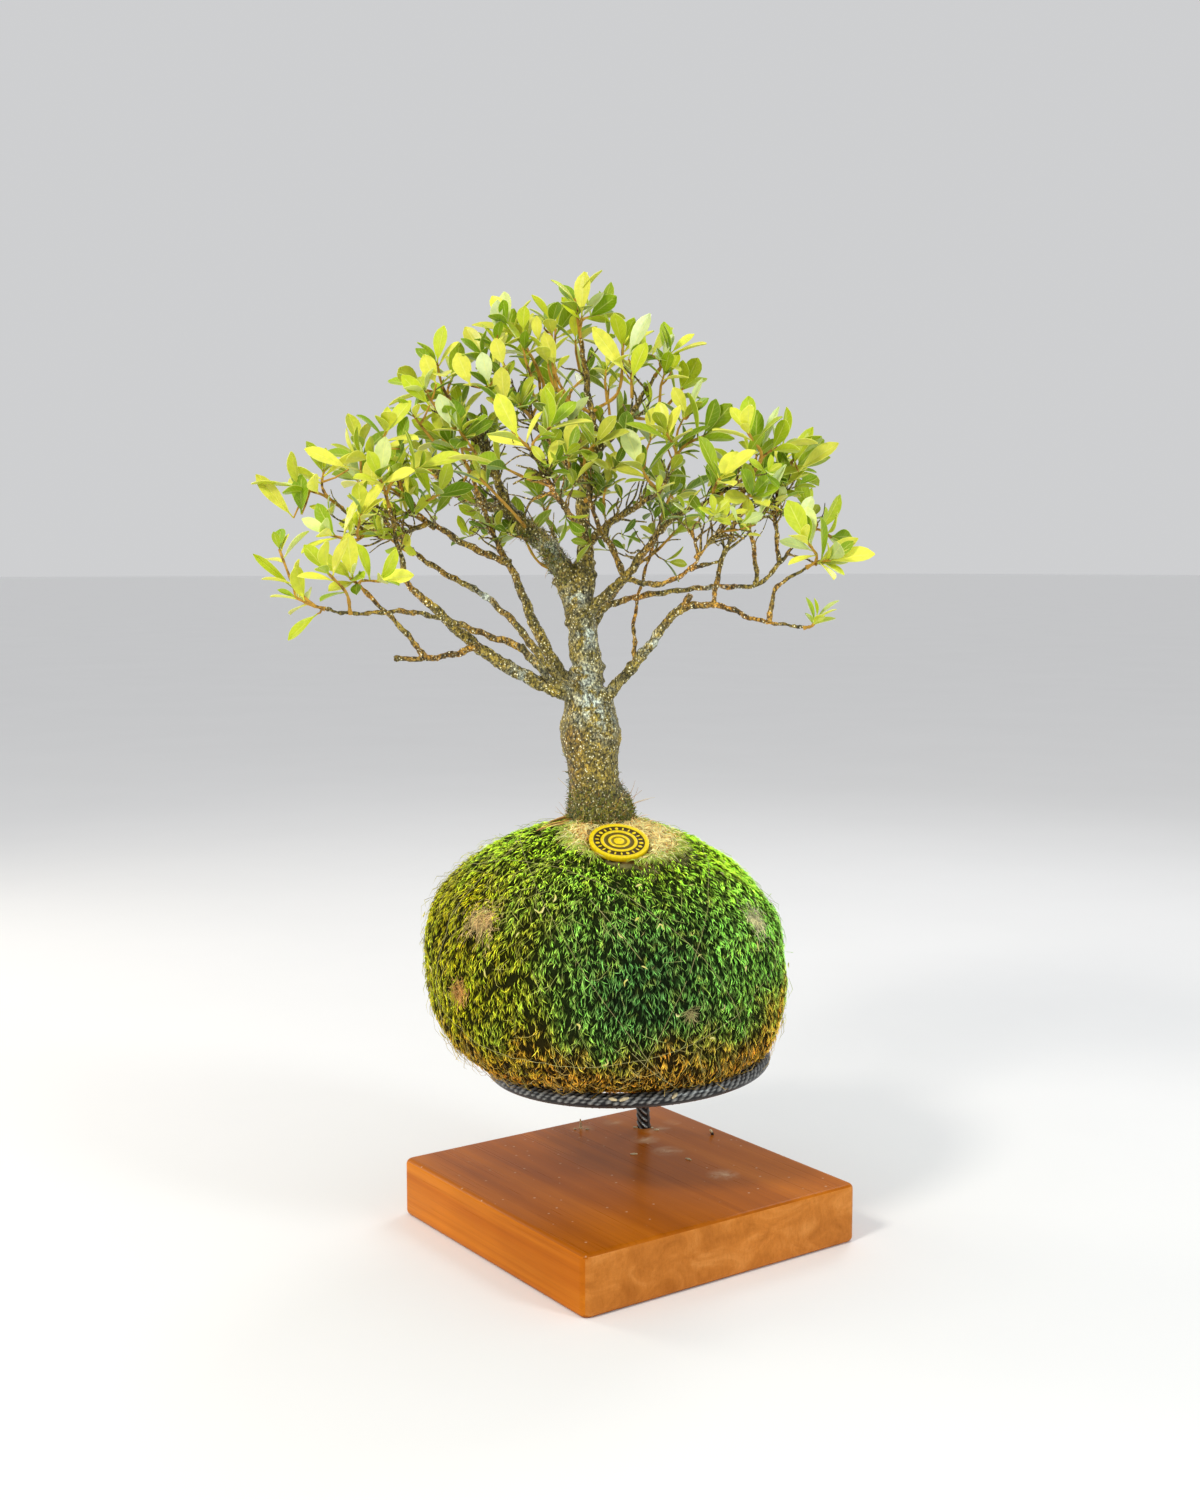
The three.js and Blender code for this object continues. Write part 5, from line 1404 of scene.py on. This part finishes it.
# sprays of leaves: the branch each grows on, the bend it grows from or None for the tip, and where its rosettes sit
sprays = {
    "far_left": ("highLeft", None, (-190, -38, 452), (-176, -20, 462)),
    "far_left_low": ("kneeLeft", None, (-186, -64, 389), (-196, -58, 416)),
    "left_elbow": ("kneeLeft", 6, (-166, -84, 404)),
    "left_shelf": ("highLeft", 4, (-168, -52, 424), (-150, -54, 436)),
    "left_outer_top": ("upLeft", None, (-158, -16, 470), (-138, -32, 484)),
    "left_back_top": ("fanLeft", None, (-166, 48, 460), (-160, 24, 478)),
    "left_back_low": ("fanLeft", 5, (-152, 50, 428)),
    "left_front": ("lowLeft", None, (-140, -50, 456), (-118, -44, 462)),
    "left_low": ("spurRise", None, (-156, -62, 400), (-138, -66, 398)),
    "left_inner": ("midLeft", None, (-104, 4, 478), (-94, -18, 482)),
    "left_heart": ("upLeft", 1, (-108, -30, 448)),
    "limb_top": ("limbUp", None, (-124, 4, 512), (-110, -16, 524), (-104, 22, 520)),
    "limb_side": ("limbUp", 2, (-112, 36, 484)),
    "limb_end": ("limbLeft", 3, (-86, -10, 458)),
    "crown_left": ("crownLeft", None, (-84, -6, 528), (-74, 20, 536)),
    "crown_left_low": ("crownLeft", 2, (-62, -18, 500)),
    "crown_upper_left": ("crownLeft", 2, (-60, 10, 538), (-70, -8, 548)),
    "crown_top": ("spine", None, (-30, -6, 562), (-16, 8, 554)),
    "crown_top_left": ("spine", 5, (-44, -16, 548), (-42, 18, 548)),
    "crown_top_right": ("spine", 5, (-2, -8, 536)),
    "crown_mid": ("spine", 4, (-40, -22, 490)),
    "crown_mid_right": ("spine", 3, (-2, -18, 478)),
    "crown_right": ("crownRight", None, (26, -12, 530), (12, 12, 532)),
    "crown_right_low": ("crownRight", 1, (34, 10, 512)),
    "shoulder": ("shoulder", None, (22, -42, 482), (46, -30, 482)),
    "shoulder_low": ("shoulder", 3, (8, -44, 462)),
    "fork_right": ("forkRight", None, (68, -46, 482), (90, -32, 476)),
    "fork_right_low": ("forkRight", 5, (52, -54, 456)),
    "fork_back": ("forkBack", None, (-18, -40, 476)),
    "right_rise": ("rightRise", None, (72, -38, 446)),
    "right_crook": ("crookRight", None, (66, 26, 462), (84, 4, 458)),
    "right_end": ("longRight", None, (124, 14, 424), (112, 36, 440)),
    "right_end_rise": ("endRise", None, (100, 6, 470), (106, 28, 466)),
    "right_tip": ("tipRise", None, (114, -60, 410), (100, -66, 420)),
    "right_low": ("lowRight", None, (108, -52, 378)),
    "slender_tip": ("slender", None, (28, 40, 450)),
    "back_low": ("backLow", None, (-56, 118, 452), (-36, 116, 458)),
    "back_low_side": ("backLow", 2, (-66, 92, 428)),
    "back_right": ("backRight", None, (40, 106, 456), (22, 112, 462)),
    "back_right_side": ("backRight", 2, (34, 72, 430)),
    "back_left": ("backLeft", None, (-134, 96, 474), (-116, 104, 480)),
    "back_left_side": ("backLeft", 2, (-96, 84, 474)),
    "back_high": ("backHigh", None, (-44, 82, 520), (-24, 80, 526)),
    "back_high_side": ("backHigh", 2, (-2, 62, 498)),
    "front_high": ("frontHigh", None, (-60, -86, 476), (-42, -88, 482)),
    "front_high_side": ("frontHigh", 2, (-74, -58, 464)),
}
smallSprays = {"right_low": (4, 0.7)}  # how many leaves a rosette has in the CAD, and their size
shootStyle = {
    "radius": 1.1, "tipRadius": 0.8, "knee": 0.4, "fork": 0.7, "lean": 0.35, "sideShare": 0.9, "tipGap": 0.9,
    "sideGap": 0.5, "orange": linear(186, 142, 56), "green": linear(156, 156, 60), "dark": linear(88, 66, 28),
}
leafStyle = {
    "length": 23, "width": 9.3, "perTip": 4, "extra": 2, "atKnee": 1, "turn": 137.5, "spacing": 2.6,
    "firstBack": 0.8, "splay": 28, "splayStep": 9, "splaySpread": 12, "rise": 0.55, "droop": 0.15,
    "tries": (0, 30, -30, 60, -60), "thickness": 0.32, "fold": 0.2, "stalk": 0.08, "leastWidth": 0.1,
    "bellyPower": 1.45, "bluntness": 0.62, "ribSink": 0.018,
    "extraBack": 0.5, "extraSpacing": 1.9, "extraSplay": 22, "extraStep": 13, "kneeSplay": 40, "kneeSpread": 30,
    "sunlit": linear(236, 236, 88), "fresh": linear(200, 216, 42), "mid": linear(140, 174, 28),
    "shade": linear(78, 112, 14), "bleached": linear(224, 240, 172), "rib": linear(242, 244, 136),
}
placedLeaves = [  # the leaves that mark the crown's front and outline: root, tip, width and shade
    ((-191, -38, 434), (-212, -40, 459), 8.5, "sunlit"), ((-26, -13, 551), (-26, -15, 576), 10.6, "sunlit"),
    ((-26, -4, 551), (-15, -8, 566), 7, "bleached"), ((-26, -4, 549), (-38, -2, 564), 6, "fresh"),
    ((107, -57, 408), (128, -60, 424), 9, "sunlit"), ((107, -57, 408), (126, -52, 412), 8, "fresh"),
    ((-186, -40, 436), (-187, -44, 458), 12, "mid"), ((-160, -30, 462), (-184, -34, 475), 8.5, "sunlit"),
    ((-75, -12, 541), (-76, -14, 560), 8.3, "bleached"), ((-48, -12, 544), (-43, -14, 559), 8, "mid"),
    ((-60, -14, 542), (-60, -17, 556), 9, "fresh"), ((-51, -14, 536), (-53, -18, 550), 7, "sunlit"),
    ((-41, -18, 521), (-48, -22, 540), 9, "sunlit"), ((1, -18, 526), (11, -22, 552), 10.5, "bleached"),
    ((0, -20, 517), (-19, -26, 543), 10, "sunlit"), ((3, -22, 514), (9, -28, 534), 11.5, "fresh"),
    ((21, -12, 527), (26, -14, 541), 6.5, "bleached"), ((26, -12, 519), (29, -15, 530), 7.5, "fresh"),
    ((-71, -24, 521), (-76, -28, 536), 9.5, "sunlit"), ((-79, -24, 511), (-84, -28, 528), 10, "bleached"),
    ((-70, -28, 499), (-73, -33, 519), 11.5, "sunlit"), ((-45, -28, 487), (-46, -32, 511), 9.5, "fresh"),
    ((-97, -26, 485), (-107, -30, 503), 9, "bleached"), ((-90, -22, 510), (-98, -26, 528), 11, "sunlit"),
    ((36, -18, 494), (42, -20, 515), 4.5, "bleached"), ((36, -18, 493), (46, -22, 504), 7, "mid"),
    ((35, -18, 494), (27, -22, 509), 8, "sunlit"), ((13, -24, 483), (14, -28, 497), 8, "sunlit"),
    ((23, -24, 476), (24, -28, 491), 9, "fresh"), ((-34, -32, 471), (-31, -36, 489), 11, "sunlit"),
    ((75, -20, 473), (74, -24, 496), 10.5, "mid"), ((78, -20, 472), (86, -22, 499), 5, "bleached"),
    ((101, -10, 462), (122, -14, 480), 10.5, "sunlit"), ((98, -8, 465), (107, -12, 488), 8.5, "fresh"),
    ((73, -46, 430), (87, -48, 465), 6, "bleached"), ((99, -50, 431), (103, -52, 446), 8, "bleached"),
    ((-188, -60, 394), (-210, -62, 414), 5, "fresh"), ((-174, -64, 380), (-192, -66, 367), 8, "fresh"),
    ((-110, -22, 511), (-117, -26, 527), 10, "sunlit"), ((-114, -22, 499), (-129, -26, 516), 9, "fresh"),
    ((-145, -40, 450), (-147, -44, 467), 10, "sunlit"), ((-131, -26, 474), (-128, -30, 492), 9, "mid"),
    ((-101, -28, 486), (-108, -32, 504), 9, "bleached"),
]
fillers = [  # plant places where the crown is densest, each with a small rosette
    (-117, -18, 508), (-124, -20, 494), (-98, -20, 487), (-80, -20, 510), (-72, -22, 498), (-60, -12, 532),
    (-76, -8, 536), (-46, -14, 526), (-44, -22, 492), (-34, -26, 470), (-12, -28, 452), (-12, -16, 520),
    (4, -14, 522), (22, -12, 518), (33, -16, 492), (14, -20, 480), (-100, 30, 500), (-60, 44, 524),
    (-10, 40, 516), (-140, -20, 454), (60, 8, 456), (-30, 10, 540),
]


def chance(spray, index, use):  # a repeatable random number between 0 and 1 for one leaf of one spray
    mask = 0xFFFFFFFF
    mixed = (seed + spray * 7919 + index * 104729 + use * 1299709) & mask
    mixed = ((mixed ^ (mixed >> 15)) * 2246822519) & mask
    mixed = ((mixed ^ (mixed >> 13)) * 3266489917) & mask
    return (mixed ^ (mixed >> 16)) / 4294967296


def normalised(vector):
    return vector / max(np.linalg.norm(vector), 1e-9)


def shootRoot(branch, bend, tip):  # where a shoot leaves its branch, and its heading there
    points = np.array(branch[2:], float)
    last = len(points) - 1
    index = last if bend is None else bend
    along = normalised(points[min(index + 1, last)] - points[index - 1])
    toTip = normalised(tip - points[index])
    if index == last:
        return points[index] + along * shootStyle["tipGap"], normalised(along + (toTip - along) * 0.5)
    side = normalised(toTip - along * np.dot(toTip, along))
    start = points[index] + side * (radiusAlong(branch, index / last) + shootStyle["sideGap"])
    return start, normalised(side + (toTip - side) * 0.5)


def shootRoute(start, heading, tip):
    knee = start + heading * np.linalg.norm(tip - start) * shootStyle["knee"]
    return [start, knee, tip]


def aroundAxis(vector, axis, angle):
    return (vector * math.cos(angle) + np.cross(axis, vector) * math.sin(angle)
            + axis * np.dot(axis, vector) * (1 - math.cos(angle)))


def leafAxes(along, turn, splay):  # the ways along, across and out of a leaf's face
    side = np.cross((0, 0, 1.0), along)
    if np.linalg.norm(side) < 0.1:
        side = np.array([1.0, 0, 0])
    side = aroundAxis(normalised(side), along, turn)
    out = along * math.cos(splay) + side * math.sin(splay)
    across = normalised(np.cross(along, out))
    return np.array([out, across, np.cross(out, across)])


def leafShape():  # a leaf along +X, upper face to +Z: a grid drawn in to a point at both ends, folded and drooping
    lengthwise, stalk, least = 8, leafStyle["stalk"], leafStyle["leastWidth"]
    bpy.ops.mesh.primitive_grid_add(x_subdivisions=lengthwise, y_subdivisions=4, size=1, location=(0.5, 0, 0))
    leaf = bpy.context.object
    bpy.ops.object.transform_apply(location=True, rotation=True, scale=True)
    bpy.ops.object.mode_set(mode="EDIT")
    for row in range(lengthwise + 1):
        place = row / lengthwise
        blade = np.clip((place - stalk) / (1 - stalk), 0, 1)
        swell = math.sin(math.pi * blade ** leafStyle["bellyPower"])
        width = least if row < 2 else max(least, swell ** leafStyle["bluntness"])
        pick(leaf, "VERT", lambda vertex: abs(vertex.co.x - place) < 0.02)
        bpy.ops.transform.resize(value=(1, width, 1), center_override=(place, 0, 0))
        bpy.ops.transform.translate(value=(0, 0, -leafStyle["droop"] * place * place))
    pick(leaf, "VERT", lambda vertex: abs(vertex.co.y) < 1e-4)
    bpy.ops.transform.translate(value=(0, 0, -leafStyle["ribSink"]))
    bpy.ops.object.mode_set(mode="OBJECT")
    points = pointsOf(leaf)
    points[:, 2] += leafStyle["fold"] * np.abs(points[:, 1]) * 0.46
    setPoints(leaf, points)
    modify(leaf, "SOLIDIFY", thickness=leafStyle["thickness"] / leafStyle["length"], offset=0)
    applyAll(leaf)
    faces = triangleFaces(leaf)
    points = pointsOf(leaf)
    uv = np.empty(len(leaf.data.loops) * 2)
    leaf.data.uv_layers.active.data.foreach_get("uv", uv)
    bpy.data.objects.remove(leaf)
    return points, faces, uv.reshape(-1, 2)


def leafMaterial():
    material, tree, skin = newMaterial(
        "leafSkin", Roughness=0.32, Specular_IOR_Level=0.24, Subsurface_Weight=0.12,
        Subsurface_Radius=(0.004, 0.006, 0.001), Subsurface_Scale=0.25)
    spread = addNode(tree, "SeparateXYZ", {"Vector": addNode(tree, "UVMap", uv_map="UVMap").outputs["UV"]})
    off = mathOf(tree, "ABSOLUTE", mathOf(tree, "SUBTRACT", spread.outputs["Y"], 0.5))
    rib = rampOf(tree, off, [(0.014, 1), (0.045, 0)])
    inside = rampOf(tree, off, [(0.34, 1), (0.44, 0)])
    slant = mathOf(tree, "SUBTRACT", times(tree, spread.outputs["X"], 8.0), times(tree, off, 4.0))
    wave = mathOf(tree, "ABSOLUTE", mathOf(tree, "SUBTRACT", mathOf(tree, "FRACT", slant), 0.5))
    veins = times(tree, rampOf(tree, wave, [(0.03, 1), (0.14, 0)]), inside)
    rim = rampOf(tree, off, [(0.465, 0), (0.495, 1)])
    stops = [(0.3, (0.82, 0.86, 0.8)), (0.7, (1.12, 1.08, 1.05))]
    shade = mottled(tree, tintOf(tree), grainAt(tree, 230, 4, 0.6), stops, 0.8)
    shade = mixOf(tree, times(tree, veins, 0.12), shade, leafStyle["rib"])
    shade = mixOf(tree, times(tree, mathOf(tree, "MAXIMUM", rib, rim), 0.4), shade, leafStyle["rib"])
    paint(tree, skin, shade)
    height = plus(tree, times(tree, rib, -1.0), times(tree, veins, -0.3))
    bumpFrom(tree, skin, height, 0.15, 0.0003)
    return material


def shootMaterial():
    material, tree, skin = newMaterial("youngShoot", Roughness=0.6, Specular_IOR_Level=0.2)
    orange = shootStyle["orange"]
    stops = [(0.34, shootStyle["dark"]), (0.46, orange), (0.6, orange * 1.25), (0.72, shootStyle["green"])]
    paint(tree, skin, rampOf(tree, grainAt(tree, 170, 5, 0.65), stops))
    bumpFrom(tree, skin, grainAt(tree, 900, 4), 0.4, 0.0003)
    return material


def rosette(route, inCad, size, sprayIndex, tipIndex):  # leaves up a shoot: root, ways to turn, length and width
    knee, tip = route[1:]
    reach = np.linalg.norm(tip - knee)
    along = normalised(tip - knee)
    heading = normalised(along + np.array((0, 0, leafStyle["rise"])))
    leaves = []
    for k in range(inCad + leafStyle["extra"] + leafStyle["atKnee"]):
        index = tipIndex * 20 + k
        extra, low = k >= inCad, k >= inCad + leafStyle["extra"]
        turn = k * leafStyle["turn"] + 360 * chance(sprayIndex, tipIndex, 1)
        spread = leafStyle["splaySpread"] * (chance(sprayIndex, index, 2) - 0.5)
        splay = leafStyle["splay"] + k * leafStyle["splayStep"] + spread
        grown = size * (0.8 + 0.4 * chance(sprayIndex, index, 3))
        at = tip - along * min(leafStyle["firstBack"] + k * leafStyle["spacing"], 0.95 * reach)
        if extra:
            grown *= 0.55 + 0.35 * chance(sprayIndex, index, 5)
            splay = leafStyle["extraSplay"] + leafStyle["extraStep"] * (k - inCad) + spread
            at = tip - along * min(leafStyle["extraBack"] + (k - inCad) * leafStyle["extraSpacing"], 0.9 * reach)
        if low:
            splay = leafStyle["kneeSplay"] + leafStyle["kneeSpread"] * chance(sprayIndex, index, 5)
            at = knee + (tip - knee) * 0.3 * chance(sprayIndex, index, 4)
        length = leafStyle["length"] * grown
        width = leafStyle["width"] * grown * (0.9 + 0.25 * chance(sprayIndex, index, 4))
        ways = [leafAxes(heading, math.radians(turn + aside), math.radians(splay)) for aside in leafStyle["tries"]]
        leaves.append({"at": at, "ways": ways, "length": length, "width": width, "extra": extra})
    return leaves


def sprayRoutes(name):
    branch, bend, *places = sprays[name]
    tips = [np.array(place, float) for place in places]
    start, heading = shootRoot(branches[branch], bend, tips[0])
    stem = shootRoute(start, heading, tips[0])
    fork = start + (stem[1] - start) * shootStyle["fork"]
    routes = [stem]
    for tip in tips[1:]:
        lean = normalised(tip - fork)
        routes.append(shootRoute(fork, lean + (heading - lean) * shootStyle["lean"], tip))
    return routes


# a leaf's tint, partly painted light and shade: leaves facing the light turn towards sunlit, inner leaves stay
# darker, and leaves at the back are darkened
def leafTint(at, axes, spray, index):
    light = normalised(np.array([-0.55, -0.45, 0.7]))
    # how far the leaf faces the light, for its painted sunlit tint
    facing = 0.5 + 0.5 * float(np.dot(axes[2], light))
    outer = np.clip((np.linalg.norm((at - (-25, 5, 440)) * (1, 1, 1.2)) - 50) / 110, 0, 1)
    young = chance(spray, index, 6)
    green = np.clip(0.2 + 0.55 * outer + 0.4 * chance(spray, index, 7), 0, 1)
    tint = leafStyle["shade"] + (leafStyle["mid"] - leafStyle["shade"]) * green
    tint = tint + (leafStyle["fresh"] - tint) * np.clip(1.5 * young - 0.35 + 0.35 * outer, 0, 1)
    tint = tint + (leafStyle["sunlit"] - tint) * np.clip(2.4 * (young * facing - 0.34) + 0.35 * outer, 0, 1)
    if chance(spray, index, 8) < 0.05:
        tint = tint + (leafStyle["bleached"] - tint) * 0.7
    # leaves at the back and deep inside are darkened: painted shade
    behind = 0.6 + 0.4 * np.clip(1.2 - (at[1] + 10) / 60, 0, 1) * np.clip(0.35 + outer * 1.6, 0, 1)
    return tint * behind * (0.8 + 0.4 * chance(spray, index, 9))


def inTangle(at):  # whether a place is among the bare twigs, left of the middle
    x, z, wide, tall = twigStyle["tangle"]
    return ((at[0] - x) / wide) ** 2 + ((at[2] - z) / tall) ** 2 < 0.8 and at[1] < 40


def fitsBox(points, room=0.3 * mm):
    low, high = np.array(cadBox[0]) + room, np.array(cadBox[1]) - room
    return bool((points >= low).all() and (points <= high).all())


class Foliage:  # gathers leaves, then lays the leaf's shape at each of them
    def __init__(self, shape, faces, uv):
        self.shape, self.faces, self.uv = shape, faces, uv
        self.starts, self.bases, self.tints = [], [], []

    def add(self, at, axes, length, width, tint):
        basis = np.array([axes[0] * length, axes[1] * width, axes[2] * length])
        if fitsBox(toFrame(self.shape @ basis + at)):
            self.starts.append(at)
            self.bases.append(basis)
            self.tints.append(tint)

    def lay(self, name, stems, materials, replaces=()):
        points, faces = copiesOf(self.shape, self.faces, np.array(self.starts), np.array(self.bases))
        leaves = meshPiece(name, toFrame(points), faces)
        layer = leaves.data.uv_layers.new(name="UVMap")
        layer.data.foreach_set("uv", np.tile(self.uv, (len(self.starts), 1)).astype(np.float32).ravel())
        colourPoints(leaves, np.repeat(np.array(self.tints), len(self.shape), axis=0))
        count = len(leaves.data.polygons)
        joined([leaves, drawnRoutes("stem", stems, 1)])
        finishPiece(leaves, name, materials, replaces, 55)
        kinds = (np.arange(len(leaves.data.polygons)) >= count).astype(np.int32)
        leaves.data.polygons.foreach_set("material_index", kinds)
        return len(self.starts)


def shootStems(routes, sprayIndex):
    stems = []
    for number, route in enumerate(routes):
        line, shares = throughPoints(route, 6)
        share = 1 if number == 0 else shootStyle["sideShare"]
        radii = share * (shootStyle["radius"] + (shootStyle["tipRadius"] - shootStyle["radius"]) * shares)
        radii *= 1 + 0.16 * np.sin(shares * 21 + sprayIndex)
        if number == 0:
            root = line[0] - normalised(line[1] - line[0]) * 1.6
            line, radii = np.concatenate([[root], line]), np.concatenate([[radii[0] * 1.25], radii])
        stems.append((line, radii))
    return stems


def makeSprays(lines, tips):
    leaf = leafShape()
    materials = [leafMaterial(), shootMaterial()]
    unmatched = total = 0
    shoots = []
    for sprayIndex, name in enumerate(sprays):
        finder = finderOf(pointsOf(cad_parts["leaf_spray_" + name]))
        inCad, size = smallSprays.get(name, (leafStyle["perTip"], 1))
        routes = sprayRoutes(name)
        foliage = Foliage(*leaf)
        for tipIndex, route in enumerate(routes):
            for k, one in enumerate(rosette(route, inCad, size, sprayIndex, tipIndex)):
                axes = one["ways"][0]
                if one["extra"] and inTangle(one["at"]):
                    continue
                if not one["extra"]:  # the way its solid leaf was turned
                    ends = [one["at"] + (way[0] - way[2] * leafStyle["droop"]) * one["length"]
                            for way in one["ways"]]
                    gaps = [finder.find(toFrame(end))[2] for end in ends]
                    axes = one["ways"][int(np.argmin(gaps))]
                    unmatched += min(gaps) > 0.003
                tint = leafTint(one["at"], axes, sprayIndex, tipIndex * 20 + k)
                foliage.add(one["at"], axes, one["length"], one["width"], tint)
        stems = shootStems(routes, sprayIndex)
        shoots += stems
        total += foliage.lay("leaves_" + name, stems, materials, ["leaf_spray_" + name])

    foliage, stems = Foliage(*leaf), []  # rosettes on the inner twigs, then the leaves that mark the outline
    for place in fillers:
        along = normalised(unit(np.array(place) - (-25.0, 5, 420)) + (0, 0, 0.5))
        line = np.array([place - along * 16 + (2, 3, -2), place - along * 7, place])
        stems.append((line, np.array([0.9, 0.75, 0.55])))
        tips.append((np.array(place, float), along, 5, 0.78))
    for number, (tip, along, count, size) in enumerate(tips):
        heading = normalised(along + np.array((0, 0, leafStyle["rise"])))
        for k in range(0 if inTangle(tip) else count):
            key = 100 + number
            grown = size * (0.72 + 0.5 * chance(key, k, 3))
            turn = math.radians(k * leafStyle["turn"] + 360 * chance(key, 0, 1))
            axes = leafAxes(heading, turn, math.radians(18 + 11 * k + 12 * chance(key, k, 2)))
            foliage.add(tip - along * 0.9 * k, axes, leafStyle["length"] * grown, leafStyle["width"] * grown,
                        leafTint(tip, axes, key, k))
    anchors = np.concatenate([line[0] for line in lines + stems + shoots])
    for number, (root, tip, width, shade) in enumerate(placedLeaves):
        way = np.array(tip, float) - root
        anchor = anchors[np.argmin(np.linalg.norm(anchors + (0, 0, 6) - root, axis=1))]
        stems.append((np.array([anchor, (anchor + root) / 2 + (0, 0, -1), root]), np.array([0.75, 0.6, 0.5])))
        across = normalised(np.cross((-0.35, -0.75, 0.55), way))
        axes = np.array([normalised(way), across, np.cross(normalised(way), across)])
        tint = leafStyle[shade] * (0.8 + 0.06 * (number % 4))
        foliage.add(np.array(root, float), axes, np.linalg.norm(way), width, tint)
    total += foliage.lay("leaves_inner", stems, materials)
    print("leaves", total, "away from their solid", unmatched)
    report("sprays")


setView()
makeBlock()
metal = barMetal()
makeRing(metal)
makePost(metal)
makeMossBed()
makeStrands()
makeSoil()
makeThreads()
makeTag()
makeLitter()
lines, bark = makeWood()
makeSprays(lines, growTwigs(lines, bark))
